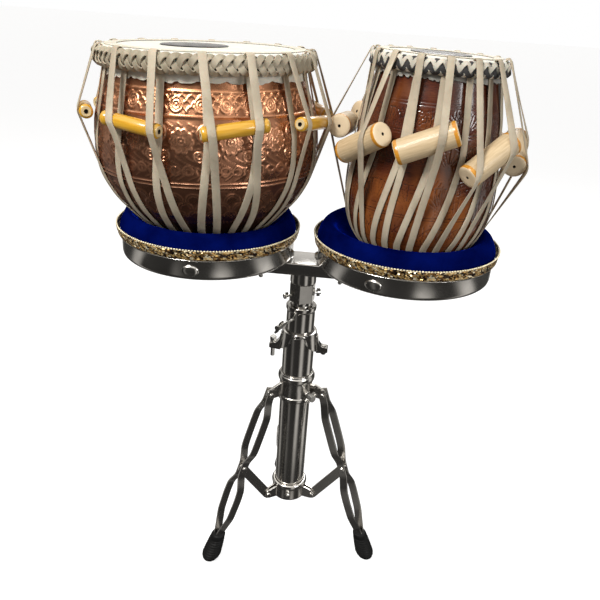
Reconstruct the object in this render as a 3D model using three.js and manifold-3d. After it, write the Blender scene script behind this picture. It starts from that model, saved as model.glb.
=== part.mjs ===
// A pair of tabla drums on a double drum stand: the copper bayan and the wooden dayan sit on ring
// cushions in two trays, and a crossbar, three telescoping tubes and a folding tripod carry them.
// Millimetres, +Z up. The model is built round the column, and is moved at the end so that the
// origin is the bottom centre of its bounding box.
import * as THREE from 'three';
import { mergeVertices } from 'three/addons/utils/BufferGeometryUtils.js';
import Module from 'manifold-3d';

const wasm = await Module();
wasm.setup();

// ---- driving dimensions: stand ------------------------------------------------------------------
const GAP = 0.3; // between pieces that rest on or are cut by each other
const RUNNING_GAP = 0.5; // between pieces that move past each other
const LEG_AZIMUTHS = { right: 69.4, rear: 189.4, left: 309.4 }; // degrees from the front (-Y) towards +X
const BASE_TUBE = { outer: 22.3, inner: 20.5, bottom: 84, top: 364 };
const MID_TUBE = { outer: 20, inner: 15.5, bottom: 215, top: 409, rim: 1.3 };
const TOP_TUBE = { outer: 15, inner: 13, bottom: 330, top: 416 };
const SOCKET = { radius: 18.5, top: 442, bore: 9.5, turn: -8 }; // hexagonal head of the top tube
const CLAMP = { bottom: 336, top: 370, arch: 22, boltX: -37, boltRadius: 3 };
const SOLE_HEIGHT = 8; // of the feet, in the same heights as the column
const LEG_PIVOT = { r: 45, z: 274 };
const BRACE_PIVOT = { r: 41, z: 89 };
const LEG_ANGLE = 19.7; // degrees from the vertical
const KNEE = 124; // along the leg from its pivot to the rivet that it shares with the brace
const LEG_END = 272; // along the leg from its pivot to its end inside the rubber foot
const SOLE_RADIUS = 140.2; // from the column to the middle of each sole
const STRIP = { width: 10, thickness: 2.5, pinch: 3.75, upperBow: 13, lowerBow: 15 };
const LUG_THICKNESS = 4;
const BRACE = { width: 14, thickness: 3 };
const PIN_RADIUS = 2.6;
const CROSSBAR = { halfLength: 105, halfWidth: 25, bottom: 460, top: 477.2, wall: 2.5 };
const TRAY = { x: 130, radius: 113.6, wall: 1.4, bottom: 477.5, top: 505.3, floor: 2, rim: 3 };
const CUSHION = { outer: 118, seat: 111.2, hole: 57 };
// The side of each ring cushion that its drum rests in, from the crown down to the hole.
const DRUM_SEATS = {
  left: [[106.5, 535.2], [102, 534.8], [97.5, 531], [85, 518], [71, 503], [60, 491]],
  right: [[103, 535.2], [98, 534.6], [92.5, 530], [84, 518], [71, 503], [60, 491]],
};
const TRIM = { outer: 120.3, bottom: 506, top: 518 };

// ---- driving dimensions: drums, each in its own frame with z = 0 at the bottom of its shell ------
const BAYAN = {
  place: [-129.3, 0, 497],
  lean: -1.2, // degrees about Y: the head's right side stands a little higher
  wall: 1.8,
  floor: 10.5, // height of the middle of the hollow's floor
  outline: [
    [117.5, 234.5], [118.5, 209], [130, 172], [136, 139], [136, 111], [126, 80], [104, 49],
    [73, 21], [50, 8], [22, 1], [0, 0],
  ],
  head: 237, // height of the playing surface
  gajra: { inner: 123.6, outer: 130, bottom: 216, top: 236.5 },
  kinar: 14, // width of the rim skin on the playing surface
  syahi: { radius: 41, x: -17, y: 7 },
  kundal: { radius: 47, section: 3.5, z: -2.5 },
  strapWidth: 9,
  strapAzimuth: 12.5, // of one outer run, degrees from the front towards +X
  dowelClearance: 1.3,
  dowel: { radius: 8, length: 75, dome: 3, offset: 11.25 },
  // Each dowel is set by hand under its straps: height, tilt in degrees with its right end up, and how far
  // round it sits from its regular place.
  dowelSettings: [[164, 7], [163, -5], [163, 3], [164, -4], [162, 5], [163, -3], [165, 4], [164, -5.5]],
};
const DAYAN = {
  place: [135.9, 0, 495],
  lean: 1.2,
  wall: 13,
  floor: 16,
  outline: [
    [70.5, 247.5], [72.5, 225], [81, 191], [88, 138], [91.5, 96], [90, 68], [82.5, 42],
    [66, 18], [45, 5], [24, 0.5], [0, 0],
  ],
  head: 250,
  gajra: { inner: 76, outer: 79.5, bottom: 231, top: 249.5 },
  kinar: 11,
  syahi: { radius: 36, x: 0, y: 0 },
  kundal: { radius: 42, section: 3.5, z: -2.5 },
  strapWidth: 8,
  strapAzimuth: -1,
  dowelClearance: 1.1,
  dowel: { radius: 14, length: 70, dome: 2, offset: -8 },
  dowelSettings: [
    [164, 25, 2.5], [150, 32], [150, 20], [152, 14], [158, 10], [160, 12], [157, 4, 0.5], [151, 28, 5],
  ],
};
const STRAP = { thickness: 1.2, runs: 16, offShell: 0.6 };
const SKIN = 1.4; // thickness of the head's skin and of its skirt over the shell's rim

// ---- materials -----------------------------------------------------------------------------------
const finish = (color, roughness, metalness) => (
  new THREE.MeshStandardMaterial({ color, roughness, metalness })
);
const CHROME = finish(0xb9b7b0, 0.12, 1);
const STEEL = finish(0x9c9a94, 0.3, 1);
const RUBBER = finish(0x17171a, 0.75, 0);
const COPPER = finish(0xb0603a, 0.3, 1);
const ROSEWOOD = finish(0x6e2a14, 0.3, 0);
const SKIN_FINISH = finish(0xe9e3d4, 0.6, 0);
const KINAR_FINISH = finish(0xe2d9c4, 0.6, 0);
const SYAHI_FINISH = finish(0x1b191c, 0.35, 0);
const PLAIT = finish(0xa39a86, 0.75, 0);
const BLACK_PLAIT = finish(0x56545a, 0.75, 0);
const STRAP_FINISH = finish(0xc9c2ac, 0.8, 0);
const LACQUER = finish(0xe0a81c, 0.25, 0);
const PALE_WOOD = finish(0xe4cfa0, 0.55, 0);
const VELVET = finish(0x0a1c8c, 0.9, 0);
const BROCADE = finish(0xb07a26, 0.45, 0.5);

// ---- fineness: sides of each round body ------------------------------------------------------------
const COLUMN_SEGMENTS = 18;
const TRAY_SEGMENTS = 24;
const DRUM_SEGMENTS = 28;
const SMALL_SEGMENTS = 16;
const SCREW_SEGMENTS = 8;
const PIN_SEGMENTS = 8;

// ---- geometry helpers ----------------------------------------------------------------------------
const radians = THREE.MathUtils.degToRad;
const point = (x, y) => new THREE.Vector2(x, y);

function solidOf(geometry) {
  const bare = geometry.clone();
  bare.deleteAttribute('normal');
  bare.deleteAttribute('uv');
  const merged = mergeVertices(bare, 1e-4);
  const vertProperties = Float32Array.from(merged.attributes.position.array);
  const triVerts = Uint32Array.from(merged.index.array);
  return new wasm.Manifold(new wasm.Mesh({ numProp: 3, vertProperties, triVerts }));
}

function geometryOf(solid) {
  const mesh = solid.getMesh();
  const geometry = new THREE.BufferGeometry();
  geometry.setAttribute('position', new THREE.BufferAttribute(Float32Array.from(mesh.vertProperties), 3));
  geometry.setIndex(Array.from(mesh.triVerts));
  return geometry;
}

function joined(...geometries) {
  return geometryOf(geometries.map(solidOf).reduce((whole, next) => whole.add(next)));
}

function cut(geometry, ...tools) {
  return geometryOf(tools.map(solidOf).reduce((whole, next) => whole.subtract(next), solidOf(geometry)));
}

// A body of revolution about Z from [radius, height] points. It starts and ends on the axis, or is
// closed here, and it is turned to run up its outer side, which points its faces outwards.
function turned(outline, segments) {
  const points = outline.map(([r, z]) => point(r, z));
  const onAxis = points[0].x === 0 && points.at(-1).x === 0;
  if (THREE.ShapeUtils.area(points) < 0) points.reverse();
  if (!onAxis) points.push(points[0].clone());
  return new THREE.LatheGeometry(points, segments).rotateX(Math.PI / 2);
}

function tube(outer, inner, bottom, top, segments) {
  return turned([[inner, bottom], [outer, bottom], [outer, top], [inner, top]], segments);
}

function rod(radius, bottom, top, segments) {
  return turned([[0, bottom], [radius, bottom], [radius, top], [0, top]], segments);
}

// A flat plate with its outline in the radius-height plane, centred on that plane.
function plate(outline, thickness) {
  const shape = new THREE.Shape(outline.map(([r, z]) => point(r, z)));
  const geometry = new THREE.ExtrudeGeometry(shape, { depth: thickness, bevelEnabled: false });
  return geometry.translate(0, 0, -thickness / 2).rotateX(Math.PI / 2);
}

// A pin along the tangential direction (local Y), centred at radius r and height z.
function crossPin(radius, halfLength, r, z) {
  return new THREE.CylinderGeometry(radius, radius, 2 * halfLength, PIN_SEGMENTS).translate(r, 0, z);
}

// The outline of a strip of even thickness on the left of a line of points.
function stripOutline(line, thickness) {
  const outer = line.map((here, i) => {
    const before = line[Math.max(i - 1, 0)];
    const after = line[Math.min(i + 1, line.length - 1)];
    const previous = i > 0 ? before : here.clone().multiplyScalar(2).sub(after);
    const arriving = here.clone().sub(previous).normalize();
    const leaving = (i < line.length - 1 ? after.clone().sub(here) : here.clone().sub(before)).normalize();
    const along = arriving.clone().add(leaving).normalize();
    const reach = thickness / Math.max(along.dot(leaving), 0.5);
    return point(here.x - along.y * reach, here.y + along.x * reach);
  });
  return [...line, ...outer.reverse()].map((p) => [p.x, p.y]);
}

// The outer side of the hull of some section points, from the highest to the lowest: the line that
// a strap takes when it is pulled tight over them.
function tautLine(points) {
  const line = [];
  for (const next of [...points].sort((a, b) => b.y - a.y)) {
    while (line.length > 1) {
      const last = line.at(-1).clone().sub(line.at(-2));
      if (last.cross(next.clone().sub(line.at(-1))) < 0) break;
      line.pop();
    }
    line.push(next);
  }
  return line;
}

function turnAboutColumn(geometry, azimuth) {
  return geometry.rotateZ(radians(azimuth - 90));
}

// ---- scene graph ---------------------------------------------------------------------------------
const model = new THREE.Group();

function addPiece(parent, name, geometry, material) {
  const mesh = new THREE.Mesh(geometry, material);
  mesh.name = name;
  parent.add(mesh);
  return mesh;
}

// A group whose local X points away from the column at an azimuth, and whose Z is up.
function radialFrame(azimuth) {
  const frame = new THREE.Group();
  frame.rotation.z = radians(azimuth - 90);
  model.add(frame);
  return frame;
}

// ---- screws --------------------------------------------------------------------------------------
// A screw along local X with its tip at x = 0, and two wings or a cross handle at its outer end.
function wingScrew(shank, length, hub, span, wing) {
  const stem = rod(shank, 0, length, SCREW_SEGMENTS);
  const boss = rod(hub, length - wing, length + 1, SCREW_SEGMENTS);
  const wings = new THREE.BoxGeometry(2.6, span, wing - 1).translate(0, 0, length - wing / 2);
  return joined(stem, boss, wings).rotateY(Math.PI / 2);
}

function addScrew(name, azimuth, radius, height, geometry, turn = 0) {
  const frame = radialFrame(azimuth);
  const screw = addPiece(frame, name, geometry, STEEL);
  screw.position.set(radius, 0, height);
  screw.rotation.x = radians(turn);
}

// The hole for a screw that enters at an azimuth, as a tool to cut with.
function screwHole(shank, azimuth, height, outer) {
  const hole = rod(shank + RUNNING_GAP, 5, outer, SCREW_SEGMENTS).rotateY(Math.PI / 2);
  return turnAboutColumn(hole.translate(0, 0, height), azimuth);
}

const MID_SCREW = { azimuth: -28, height: 393, shank: 2.6, reach: 42 };
const THUMBSCREWS = { left: { azimuth: -62, height: 424 }, right: { azimuth: 118, height: 424 } };
const THUMB_SHANK = 2.2;
const COLLAR_BOLT = { azimuth: 42, height: 274, shank: 3, reach: 18 };

// ---- column --------------------------------------------------------------------------------------

function addBaseTube() {
  const geometry = tube(BASE_TUBE.outer, BASE_TUBE.inner, BASE_TUBE.bottom, BASE_TUBE.top, COLUMN_SEGMENTS);
  addPiece(model, 'base_tube', geometry, CHROME);
}

// The clamp on top of the base tube: a flared collar, arched at its front and back, with an ear
// on each side.
function addHeightClamp() {
  const { bottom, top, arch, boltX, boltRadius } = CLAMP;
  const seat = BASE_TUBE.outer + GAP;
  const mouth = MID_TUBE.outer + RUNNING_GAP;
  const step = BASE_TUBE.top + GAP;
  const ring = turned([
    [seat, bottom], [28.5, bottom], [27, 354], [24.8, top - 2], [24, top], [mouth, top],
    [mouth, step], [seat, step],
  ], COLUMN_SEGMENTS);
  const opening = new THREE.CylinderGeometry(arch, arch, 80, COLUMN_SEGMENTS).translate(0, 0, bottom + 3);
  const ear = [[25.5, bottom], [42, 338], [42, 345], [30.5, 347], [26.5, 360], [25, 360]];
  const right = plate(ear, 12);
  const left = plate(ear, 12).rotateZ(Math.PI);
  const nut = rod(3.6, bottom - 3, 347, 6).translate(36, 0, 0);
  const boltHole = rod(boltRadius + RUNNING_GAP, bottom - 5, top, SCREW_SEGMENTS).translate(boltX, 0, 0);
  addPiece(model, 'height_clamp', cut(joined(cut(ring, opening), right, left, nut), boltHole), CHROME);
}

function addHeightClampBolt() {
  const head = { bottom: 348, top: 354 };
  const shank = rod(CLAMP.boltRadius, 323, head.top - 1, SCREW_SEGMENTS);
  const knob = rod(4.6, head.bottom, head.top, SCREW_SEGMENTS);
  const bar = new THREE.BoxGeometry(2.8, 12, 4).translate(0, 0, head.top - 2.5);
  const bolt = addPiece(model, 'height_clamp_bolt', joined(shank, knob, bar), STEEL);
  bolt.position.x = CLAMP.boltX;
}

function addMidTube() {
  const { inner, outer, bottom, top } = MID_TUBE;
  const rim = outer + MID_TUBE.rim;
  const wall = turned([
    [inner, bottom], [outer, bottom], [outer, top - 8], [rim, top - 6], [rim, top], [inner, top],
  ], COLUMN_SEGMENTS);
  const hole = screwHole(MID_SCREW.shank, MID_SCREW.azimuth, MID_SCREW.height, 40);
  addPiece(model, 'mid_tube', cut(wall, hole), CHROME);
  const screw = wingScrew(MID_SCREW.shank, MID_SCREW.reach, 4, 20, 8);
  addScrew('mid_tube_screw', MID_SCREW.azimuth, TOP_TUBE.outer + RUNNING_GAP, MID_SCREW.height, screw, 65);
}

function addTopTube() {
  const stem = tube(TOP_TUBE.outer, TOP_TUBE.inner, TOP_TUBE.bottom, TOP_TUBE.top, COLUMN_SEGMENTS);
  const head = rod(SOCKET.radius, TOP_TUBE.top - 1, SOCKET.top, 6).rotateZ(radians(SOCKET.turn));
  const bore = rod(SOCKET.bore, TOP_TUBE.top - 3, SOCKET.top + 1, SMALL_SEGMENTS);
  const holes = Object.values(THUMBSCREWS).map((s) => screwHole(THUMB_SHANK, s.azimuth, s.height, 30));
  addPiece(model, 'top_tube', cut(joined(stem, head), bore, ...holes), CHROME);
  for (const [side, { azimuth, height }] of Object.entries(THUMBSCREWS)) {
    const screw = wingScrew(THUMB_SHANK, 17, 3.4, 12, 5);
    const roll = side === 'left' ? 60 : 90;
    addScrew(`top_thumbscrew_${side}`, azimuth, SOCKET.bore + GAP, height, screw, roll);
  }
}

// ---- tripod --------------------------------------------------------------------------------------
// A pivot pin with a round head outside each strip of a leg.
function pinWithHeads(r, z, headAt) {
  const end = headAt + 1.8;
  const pin = turned([
    [0, -end], [4.4, -end], [4.4, -headAt], [PIN_RADIUS, -headAt], [PIN_RADIUS, headAt], [4.4, headAt],
    [4.4, end], [0, end],
  ], PIN_SEGMENTS);
  return pin.rotateX(Math.PI / 2).translate(r, 0, z);
}

// The sliding collar: a flanged ring with a lug and a pivot pin for each leg.
function addUpperCollar() {
  const inner = BASE_TUBE.outer + RUNNING_GAP;
  const ring = turned([
    [inner, 259], [25.8, 259], [25.8, 265], [24.4, 266], [24.4, 290], [26.6, 291], [26.6, 298],
    [24.6, 302], [inner, 302],
  ], COLUMN_SEGMENTS);
  const { r, z } = LEG_PIVOT;
  const lug = [
    [24, 266], [r - 3, z - 8], [r + 5, z - 5], [r + 7, z], [r + 4, z + 6], [r - 8, z + 11], [24, 290],
  ];
  const headAt = STRIP.pinch + STRIP.thickness / 2 + 0.4;
  const arms = Object.values(LEG_AZIMUTHS).map((azimuth) => (
    turnAboutColumn(joined(plate(lug, LUG_THICKNESS), pinWithHeads(r, z, headAt)), azimuth)
  ));
  const boss = rod(6.5, 24, 30, SCREW_SEGMENTS).rotateY(Math.PI / 2).translate(0, 0, COLLAR_BOLT.height);
  const hole = screwHole(COLLAR_BOLT.shank, COLLAR_BOLT.azimuth, COLLAR_BOLT.height, 40);
  const body = joined(ring, ...arms, turnAboutColumn(boss, COLLAR_BOLT.azimuth));
  addPiece(model, 'upper_collar', cut(body, hole), CHROME);
  const bolt = wingScrew(COLLAR_BOLT.shank, COLLAR_BOLT.reach, 5, 18, 8);
  const { azimuth, height } = COLLAR_BOLT;
  addScrew('collar_wing_bolt', azimuth, BASE_TUBE.outer + RUNNING_GAP, height, bolt, 35);
}

// The fixed collar at the foot of the column, with a pair of ears and a pin for each brace.
function addLowerCollar() {
  const inner = BASE_TUBE.outer + GAP;
  const ring = turned([
    [inner, 79], [25.6, 79], [25.6, 100], [27, 101], [27, 105], [25, 107], [inner, 107],
  ], COLUMN_SEGMENTS);
  const { r, z } = BRACE_PIVOT;
  const ear = [[24, 80], [r - 2, z - 7], [r + 5, z - 4], [r + 6, z + 1], [r + 1, z + 7], [24, 100]];
  const earAt = BRACE.thickness / 2 + RUNNING_GAP + 1.2;
  const arms = Object.values(LEG_AZIMUTHS).map((azimuth) => {
    const ears = [-1, 1].map((side) => plate(ear, 2.4).translate(0, side * earAt, 0));
    return turnAboutColumn(joined(...ears, crossPin(PIN_RADIUS, earAt + 2, r, z)), azimuth);
  });
  const hole = screwHole(2.4, 0, 90, 40);
  addPiece(model, 'lower_collar', cut(joined(ring, ...arms), hole), CHROME);
  const upright = joined(rod(2.4, 0, 8, SCREW_SEGMENTS), rod(4.4, 4, 7.6, SCREW_SEGMENTS));
  const screw = upright.rotateY(Math.PI / 2);
  addScrew('lower_collar_screw', 0, BASE_TUBE.outer + GAP, 90, screw);
}

// One leg: two strips that bow apart and are riveted together at the knee and at the foot.
function legGeometry() {
  const { width, thickness, pinch, upperBow, lowerBow } = STRIP;
  const line = [
    [pinch, 9], [pinch, -14], [upperBow, -34], [upperBow, -92], [pinch, -112], [pinch, -136],
    [lowerBow, -156], [lowerBow - 2, -207], [pinch, -234], [pinch, -LEG_END],
  ].map(([side, along]) => point(side - thickness / 2, along));
  const shape = new THREE.Shape(stripOutline(line, thickness).map(([x, y]) => point(x, y)));
  const strip = new THREE.ExtrudeGeometry(shape, { depth: width, bevelEnabled: false });
  strip.translate(0, 0, -width / 2);
  const upright = new THREE.Matrix4().makeBasis(
    new THREE.Vector3(0, 1, 0), new THREE.Vector3(0, 0, 1), new THREE.Vector3(1, 0, 0),
  );
  strip.applyMatrix4(upright);
  const other = strip.clone().rotateZ(Math.PI);
  const block = new THREE.BoxGeometry(width, 2 * pinch - thickness + 0.6, 24).translate(0, 0, 13 - LEG_END);
  const headCentre = pinch + thickness / 2 + 0.7;
  const heads = [-1, 1].map((side) => crossPin(4.4, 0.9, 0, -KNEE).translate(0, side * headCentre, 0));
  const pivotHole = crossPin(PIN_RADIUS + RUNNING_GAP, 10, 0, 0);
  return cut(joined(strip, other, block, ...heads), pivotHole);
}

// A rubber foot with a flat sole at z = 0, leaning with its leg, and a socket for the leg's end.
function footGeometry() {
  const slope = Math.tan(radians(LEG_ANGLE));
  const boot = turned([
    [0, 0], [9.5, 0], [13.2, 3], [14.8, 9], [13.8, 19], [12.4, 30], [10.2, 43], [0, 43],
  ], 14);
  boot.applyMatrix4(new THREE.Matrix4().makeShear(0, 0, 0, 0, -slope, 0));
  const depth = 60;
  const across = 2 * STRIP.pinch + STRIP.thickness + 2 * GAP;
  const socket = new THREE.BoxGeometry(STRIP.width + 2 * GAP, across, depth).translate(0, 0, depth / 2);
  const legLine = Math.hypot(SOLE_RADIUS - LEG_PIVOT.r, LEG_PIVOT.z - SOLE_HEIGHT);
  socket.translate(0, 0, legLine - LEG_END - GAP).rotateY(radians(-LEG_ANGLE));
  return cut(boot, socket);
}

// A flat brace with round ends, from its pivot on the lower collar up to the leg's knee.
function braceGeometry(length) {
  const half = BRACE.width / 2;
  const arc = (centre, start) => Array.from({ length: 7 }, (_, i) => {
    const angle = radians(start + 30 * i);
    return [half * Math.cos(angle), centre + half * Math.sin(angle)];
  });
  const bar = plate([...arc(length, 0), ...arc(0, 180)], BRACE.thickness);
  return cut(bar, crossPin(PIN_RADIUS + RUNNING_GAP, 10, 0, 0));
}

function addTripod() {
  const lean = radians(LEG_ANGLE);
  const kneeR = LEG_PIVOT.r + KNEE * Math.sin(lean);
  const kneeZ = LEG_PIVOT.z - KNEE * Math.cos(lean);
  const braceLength = Math.hypot(kneeR - BRACE_PIVOT.r, kneeZ - BRACE_PIVOT.z);
  for (const [side, azimuth] of Object.entries(LEG_AZIMUTHS)) {
    const frame = radialFrame(azimuth);
    const leg = addPiece(frame, `leg_${side}`, legGeometry(), CHROME);
    leg.position.set(LEG_PIVOT.r, 0, LEG_PIVOT.z);
    leg.rotation.y = -lean;
    const foot = addPiece(frame, `foot_${side}`, footGeometry(), RUBBER);
    foot.position.set(SOLE_RADIUS, 0, SOLE_HEIGHT);
    const brace = addPiece(frame, `brace_${side}`, braceGeometry(braceLength), CHROME);
    brace.position.set(BRACE_PIVOT.r, 0, BRACE_PIVOT.z);
    brace.rotation.y = Math.atan2(kneeR - BRACE_PIVOT.r, kneeZ - BRACE_PIVOT.z);
  }
}

// ---- crossbar, trays and cushions ----------------------------------------------------------------
// A rectangular tube with a hub and a spigot below it, which turns in the socket of the top tube.
function addCrossbar() {
  const { halfLength, halfWidth, bottom, top, wall } = CROSSBAR;
  const box = (length, shrink) => new THREE.BoxGeometry(
    length, 2 * (halfWidth - shrink), top - bottom - 2 * shrink,
  ).translate(0, 0, (top + bottom) / 2);
  const bar = cut(box(2 * halfLength, 0), box(2 * halfLength + 2, wall));
  const spigot = SOCKET.bore - RUNNING_GAP;
  const shoulder = SOCKET.top + RUNNING_GAP;
  const hub = turned([
    [0, 418], [spigot, 418], [spigot, shoulder], [17.6, shoulder], [17.6, bottom + 1], [0, bottom + 1],
  ], SMALL_SEGMENTS);
  addPiece(model, 'crossbar', joined(bar, hub), CHROME);
}

const BOLT_TURN = 10; // degrees that each tray's bolt sits in front of the line between the trays
const BOLT_HEIGHT = 489;

// A pan with a rolled rim, three studs under its floor and a hole for its bolt.
function trayGeometry(side) {
  const { radius, wall, bottom, top, floor, rim } = TRAY;
  const pan = turned([
    [0, bottom], [radius - 3, bottom], [radius, bottom + 3], [radius, top - 2.5], [radius + rim, top - 2],
    [radius + rim, top], [radius - wall, top], [radius - wall, bottom + floor + 1.5],
    [radius - wall - 1.5, bottom + floor], [0, bottom + floor],
  ], TRAY_SEGMENTS);
  const studs = [-41, 79, 199].map((angle) => {
    const stud = rod(2.8, bottom - 4.5, bottom + 1, 6).translate(radius - 7, 0, 0);
    return stud.rotateZ(radians(side < 0 ? angle : 180 - angle));
  });
  const hole = rod(3, radius - 10, radius + 10, SCREW_SEGMENTS);
  hole.rotateY(Math.PI / 2).translate(0, 0, BOLT_HEIGHT);
  hole.rotateZ(radians(side < 0 ? -BOLT_TURN : 180 + BOLT_TURN));
  return cut(joined(pan, ...studs), hole);
}

function cushionGeometry(drumSeat) {
  const { outer, seat, hole } = CUSHION;
  const base = TRAY.bottom + TRAY.floor + GAP;
  return turned([
    [hole, base], [seat - 2, base], [seat, base + 2], [seat, TRAY.top + 0.8], [outer, TRAY.top + 1.2],
    [outer, 516], [114, 523], [110, 530.5], ...drumSeat,
  ], TRAY_SEGMENTS);
}

function addTrayGroup(name, side) {
  const place = new THREE.Group();
  place.position.x = side * TRAY.x;
  model.add(place);
  addPiece(place, `tray_${name}`, trayGeometry(side), CHROME);
  addPiece(place, `cushion_${name}`, cushionGeometry(DRUM_SEATS[name]), VELVET);
  const band = tube(TRIM.outer, CUSHION.outer + GAP, TRIM.bottom, TRIM.top, TRAY_SEGMENTS);
  addPiece(place, `trim_${name}`, band, BROCADE);
  const shank = rod(2.6, -TRAY.wall - GAP, 1, SCREW_SEGMENTS);
  const head = turned([[0, GAP], [6, GAP], [6, 2.4], [4, 4.2], [0, 4.2]], SCREW_SEGMENTS);
  const bolt = addPiece(place, `tray_bolt_${name}`, joined(shank, head).rotateY(Math.PI / 2), STEEL);
  const angle = side < 0 ? -radians(BOLT_TURN) : Math.PI + radians(BOLT_TURN);
  bolt.position.set(TRAY.radius * Math.cos(angle), TRAY.radius * Math.sin(angle), BOLT_HEIGHT);
  bolt.rotation.z = angle;
}

// ---- drums ---------------------------------------------------------------------------------------
// A shell open at the top: its hollow follows the outer side down to a nearly flat floor.
function shellGeometry({ outline, wall, floor }) {
  const hollow = outline.slice(0, -3).map(([r, z]) => [r - wall, z]);
  return turned([...outline].reverse().concat(hollow, [[0, floor]]), DRUM_SEGMENTS);
}

// The skin over the rim, with a skirt down the outside of the shell.
function headGeometry(drum) {
  const [rim] = drum.outline[0];
  const inside = rim + 1.3;
  const under = drum.head - SKIN;
  const skirt = drum.gajra.bottom + 4;
  return turned([
    [0, under], [inside, under], [inside, skirt], [inside + SKIN, skirt], [inside + SKIN, under],
    [inside, drum.head], [0, drum.head],
  ], DRUM_SEGMENTS);
}

function kinarGeometry(drum) {
  const outer = drum.outline[0][0] + 1;
  return tube(outer, outer - drum.kinar, drum.head + GAP, drum.head + 1.5, DRUM_SEGMENTS);
}

function syahiGeometry({ syahi, head }) {
  const disc = turned([
    [0, head + GAP], [syahi.radius, head + GAP], [syahi.radius - 3, head + 1], [0, head + 1.6],
  ], SMALL_SEGMENTS);
  return disc.translate(syahi.x, syahi.y, 0);
}

function gajraGeometry({ gajra }) {
  const { inner, outer, bottom, top } = gajra;
  return turned([
    [inner, bottom + 2], [outer - 3, bottom], [outer, bottom + 4], [outer, top - 4], [outer - 3, top],
    [inner, top - 1],
  ], DRUM_SEGMENTS);
}

function kundalGeometry({ kundal }) {
  const ring = Array.from({ length: 5 }, (_, i) => {
    const angle = radians(72 * i + 90);
    return [kundal.radius + kundal.section * Math.cos(angle), kundal.z + kundal.section * Math.sin(angle)];
  });
  return turned(ring, SMALL_SEGMENTS);
}

// Where the strap line passes outside the shell and the ring at the bottom, into the strap turns.
function lowerPoints(drum) {
  const { kundal } = drum;
  const away = kundal.section + STRAP.offShell;
  const onShell = drum.outline.slice(1).filter(([r]) => r > kundal.radius + away - 2);
  return [
    ...onShell.map(([r, z]) => point(r + STRAP.offShell, z - 0.3)),
    point(kundal.radius + away - 0.3, kundal.z - away - 0.5),
  ];
}

// The turns of strap that lie side by side under the bottom ring, as one flat ring.
function strapTurns({ kundal }) {
  const reach = kundal.section + STRAP.offShell + STRAP.thickness;
  const top = kundal.z - kundal.section - GAP;
  const outer = kundal.radius + reach - 0.4;
  return tube(outer, kundal.radius - reach, top - STRAP.thickness, top, SMALL_SEGMENTS);
}

// The outer side of the slot between the gajra and the skin's skirt, at the middle of a facet.
function slotRadius({ gajra }) {
  return gajra.inner * Math.cos(Math.PI / DRUM_SEGMENTS) - 0.35;
}

// An inner run leaves the slot behind the gajra and lies on the shell all the way down.
function innerRun(drum) {
  const slot = slotRadius(drum) - STRAP.thickness;
  const { bottom, top } = drum.gajra;
  const below = lowerPoints(drum).filter((p) => p.y < bottom - 6);
  return [point(slot, top - 10), ...tautLine([point(slot, bottom - 4), ...below])];
}

// The section of a dowel in the plane of a strap that crosses it, as the points the strap rounds.
function dowelSection(drum, dowel) {
  const { radius } = drum.dowel;
  const offset = radians(dowel.strapOffset);
  const tilt = radians(dowel.tilt);
  const rounding = (radius + drum.dowelClearance) / Math.cos(radians(20));
  const centreR = dowel.distance / Math.cos(offset);
  const centreZ = dowel.height + dowel.distance * Math.tan(offset) * Math.tan(tilt);
  const rise = (drum.strapWidth / 2) * Math.tan(Math.abs(tilt));
  return [[-40, -rise], [0, -rise], [0, rise], [40, rise]].map(([angle, shift]) => point(
    centreR + (rounding * Math.cos(radians(angle))) / Math.cos(offset),
    centreZ + shift + (rounding * Math.sin(radians(angle))) / Math.cos(tilt),
  ));
}

// An outer run comes up through the slot, over the gajra and down over a dowel to the bottom ring.
function outerRun(drum, dowel) {
  const { outer, bottom, top } = drum.gajra;
  const slot = slotRadius(drum);
  const over = top + 0.6;
  const hook = [point(slot, top - 10), point(slot, over)];
  const path = [point(outer - 2.6, over), point(outer + 0.6, top - 3.4), point(outer + 0.6, bottom + 3)];
  const section = dowel ? dowelSection(drum, dowel) : [];
  return [...hook, ...tautLine([...path, ...section, ...lowerPoints(drum)])];
}

function runGeometry(line, width, azimuth) {
  return turnAboutColumn(plate(stripOutline(line, STRAP.thickness), width), azimuth);
}

function shellRadiusAt(drum, z) {
  const upper = drum.outline.findIndex(([, height]) => height < z);
  const [r1, z1] = drum.outline[upper];
  const [r0, z0] = drum.outline[upper - 1];
  return r0 + ((r1 - r0) * (z - z0)) / (z1 - z0);
}

// The dowels of a drum: azimuth, height, tilt, and distance of the centre from the drum's axis.
function dowelPlaces(drum) {
  const { radius, offset } = drum.dowel;
  return drum.dowelSettings.map(([height, tilt, aside = 0], i) => {
    const shell = Math.max(...[-radius, 0, radius].map((shift) => shellRadiusAt(drum, height + shift)));
    return {
      azimuth: drum.strapAzimuth + offset + aside + (360 / drum.dowelSettings.length) * i,
      distance: shell + STRAP.offShell + STRAP.thickness + 1 + radius,
      height,
      tilt,
    };
  });
}

function wrapDegrees(angle) {
  return THREE.MathUtils.euclideanModulo(angle + 180, 360) - 180;
}

// The dowel that a run at an azimuth passes over, with the angle between them, if there is one.
function dowelUnder(drum, places, azimuth) {
  const reach = drum.dowel.length / 2 - 8;
  const halfSpan = THREE.MathUtils.radToDeg(Math.atan2(reach, places[0].distance));
  const found = places.find((place) => Math.abs(wrapDegrees(azimuth - place.azimuth)) < halfSpan);
  return found && { ...found, strapOffset: wrapDegrees(azimuth - found.azimuth) };
}

function lacingGeometry(drum, places) {
  const step = 360 / STRAP.runs;
  const runs = [];
  for (let i = 0; i < STRAP.runs; i += 1) {
    const azimuth = drum.strapAzimuth + step * i;
    runs.push(runGeometry(outerRun(drum, dowelUnder(drum, places, azimuth)), drum.strapWidth, azimuth));
    runs.push(runGeometry(innerRun(drum), drum.strapWidth, azimuth + step / 2));
  }
  return joined(strapTurns(drum), ...runs);
}

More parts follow.
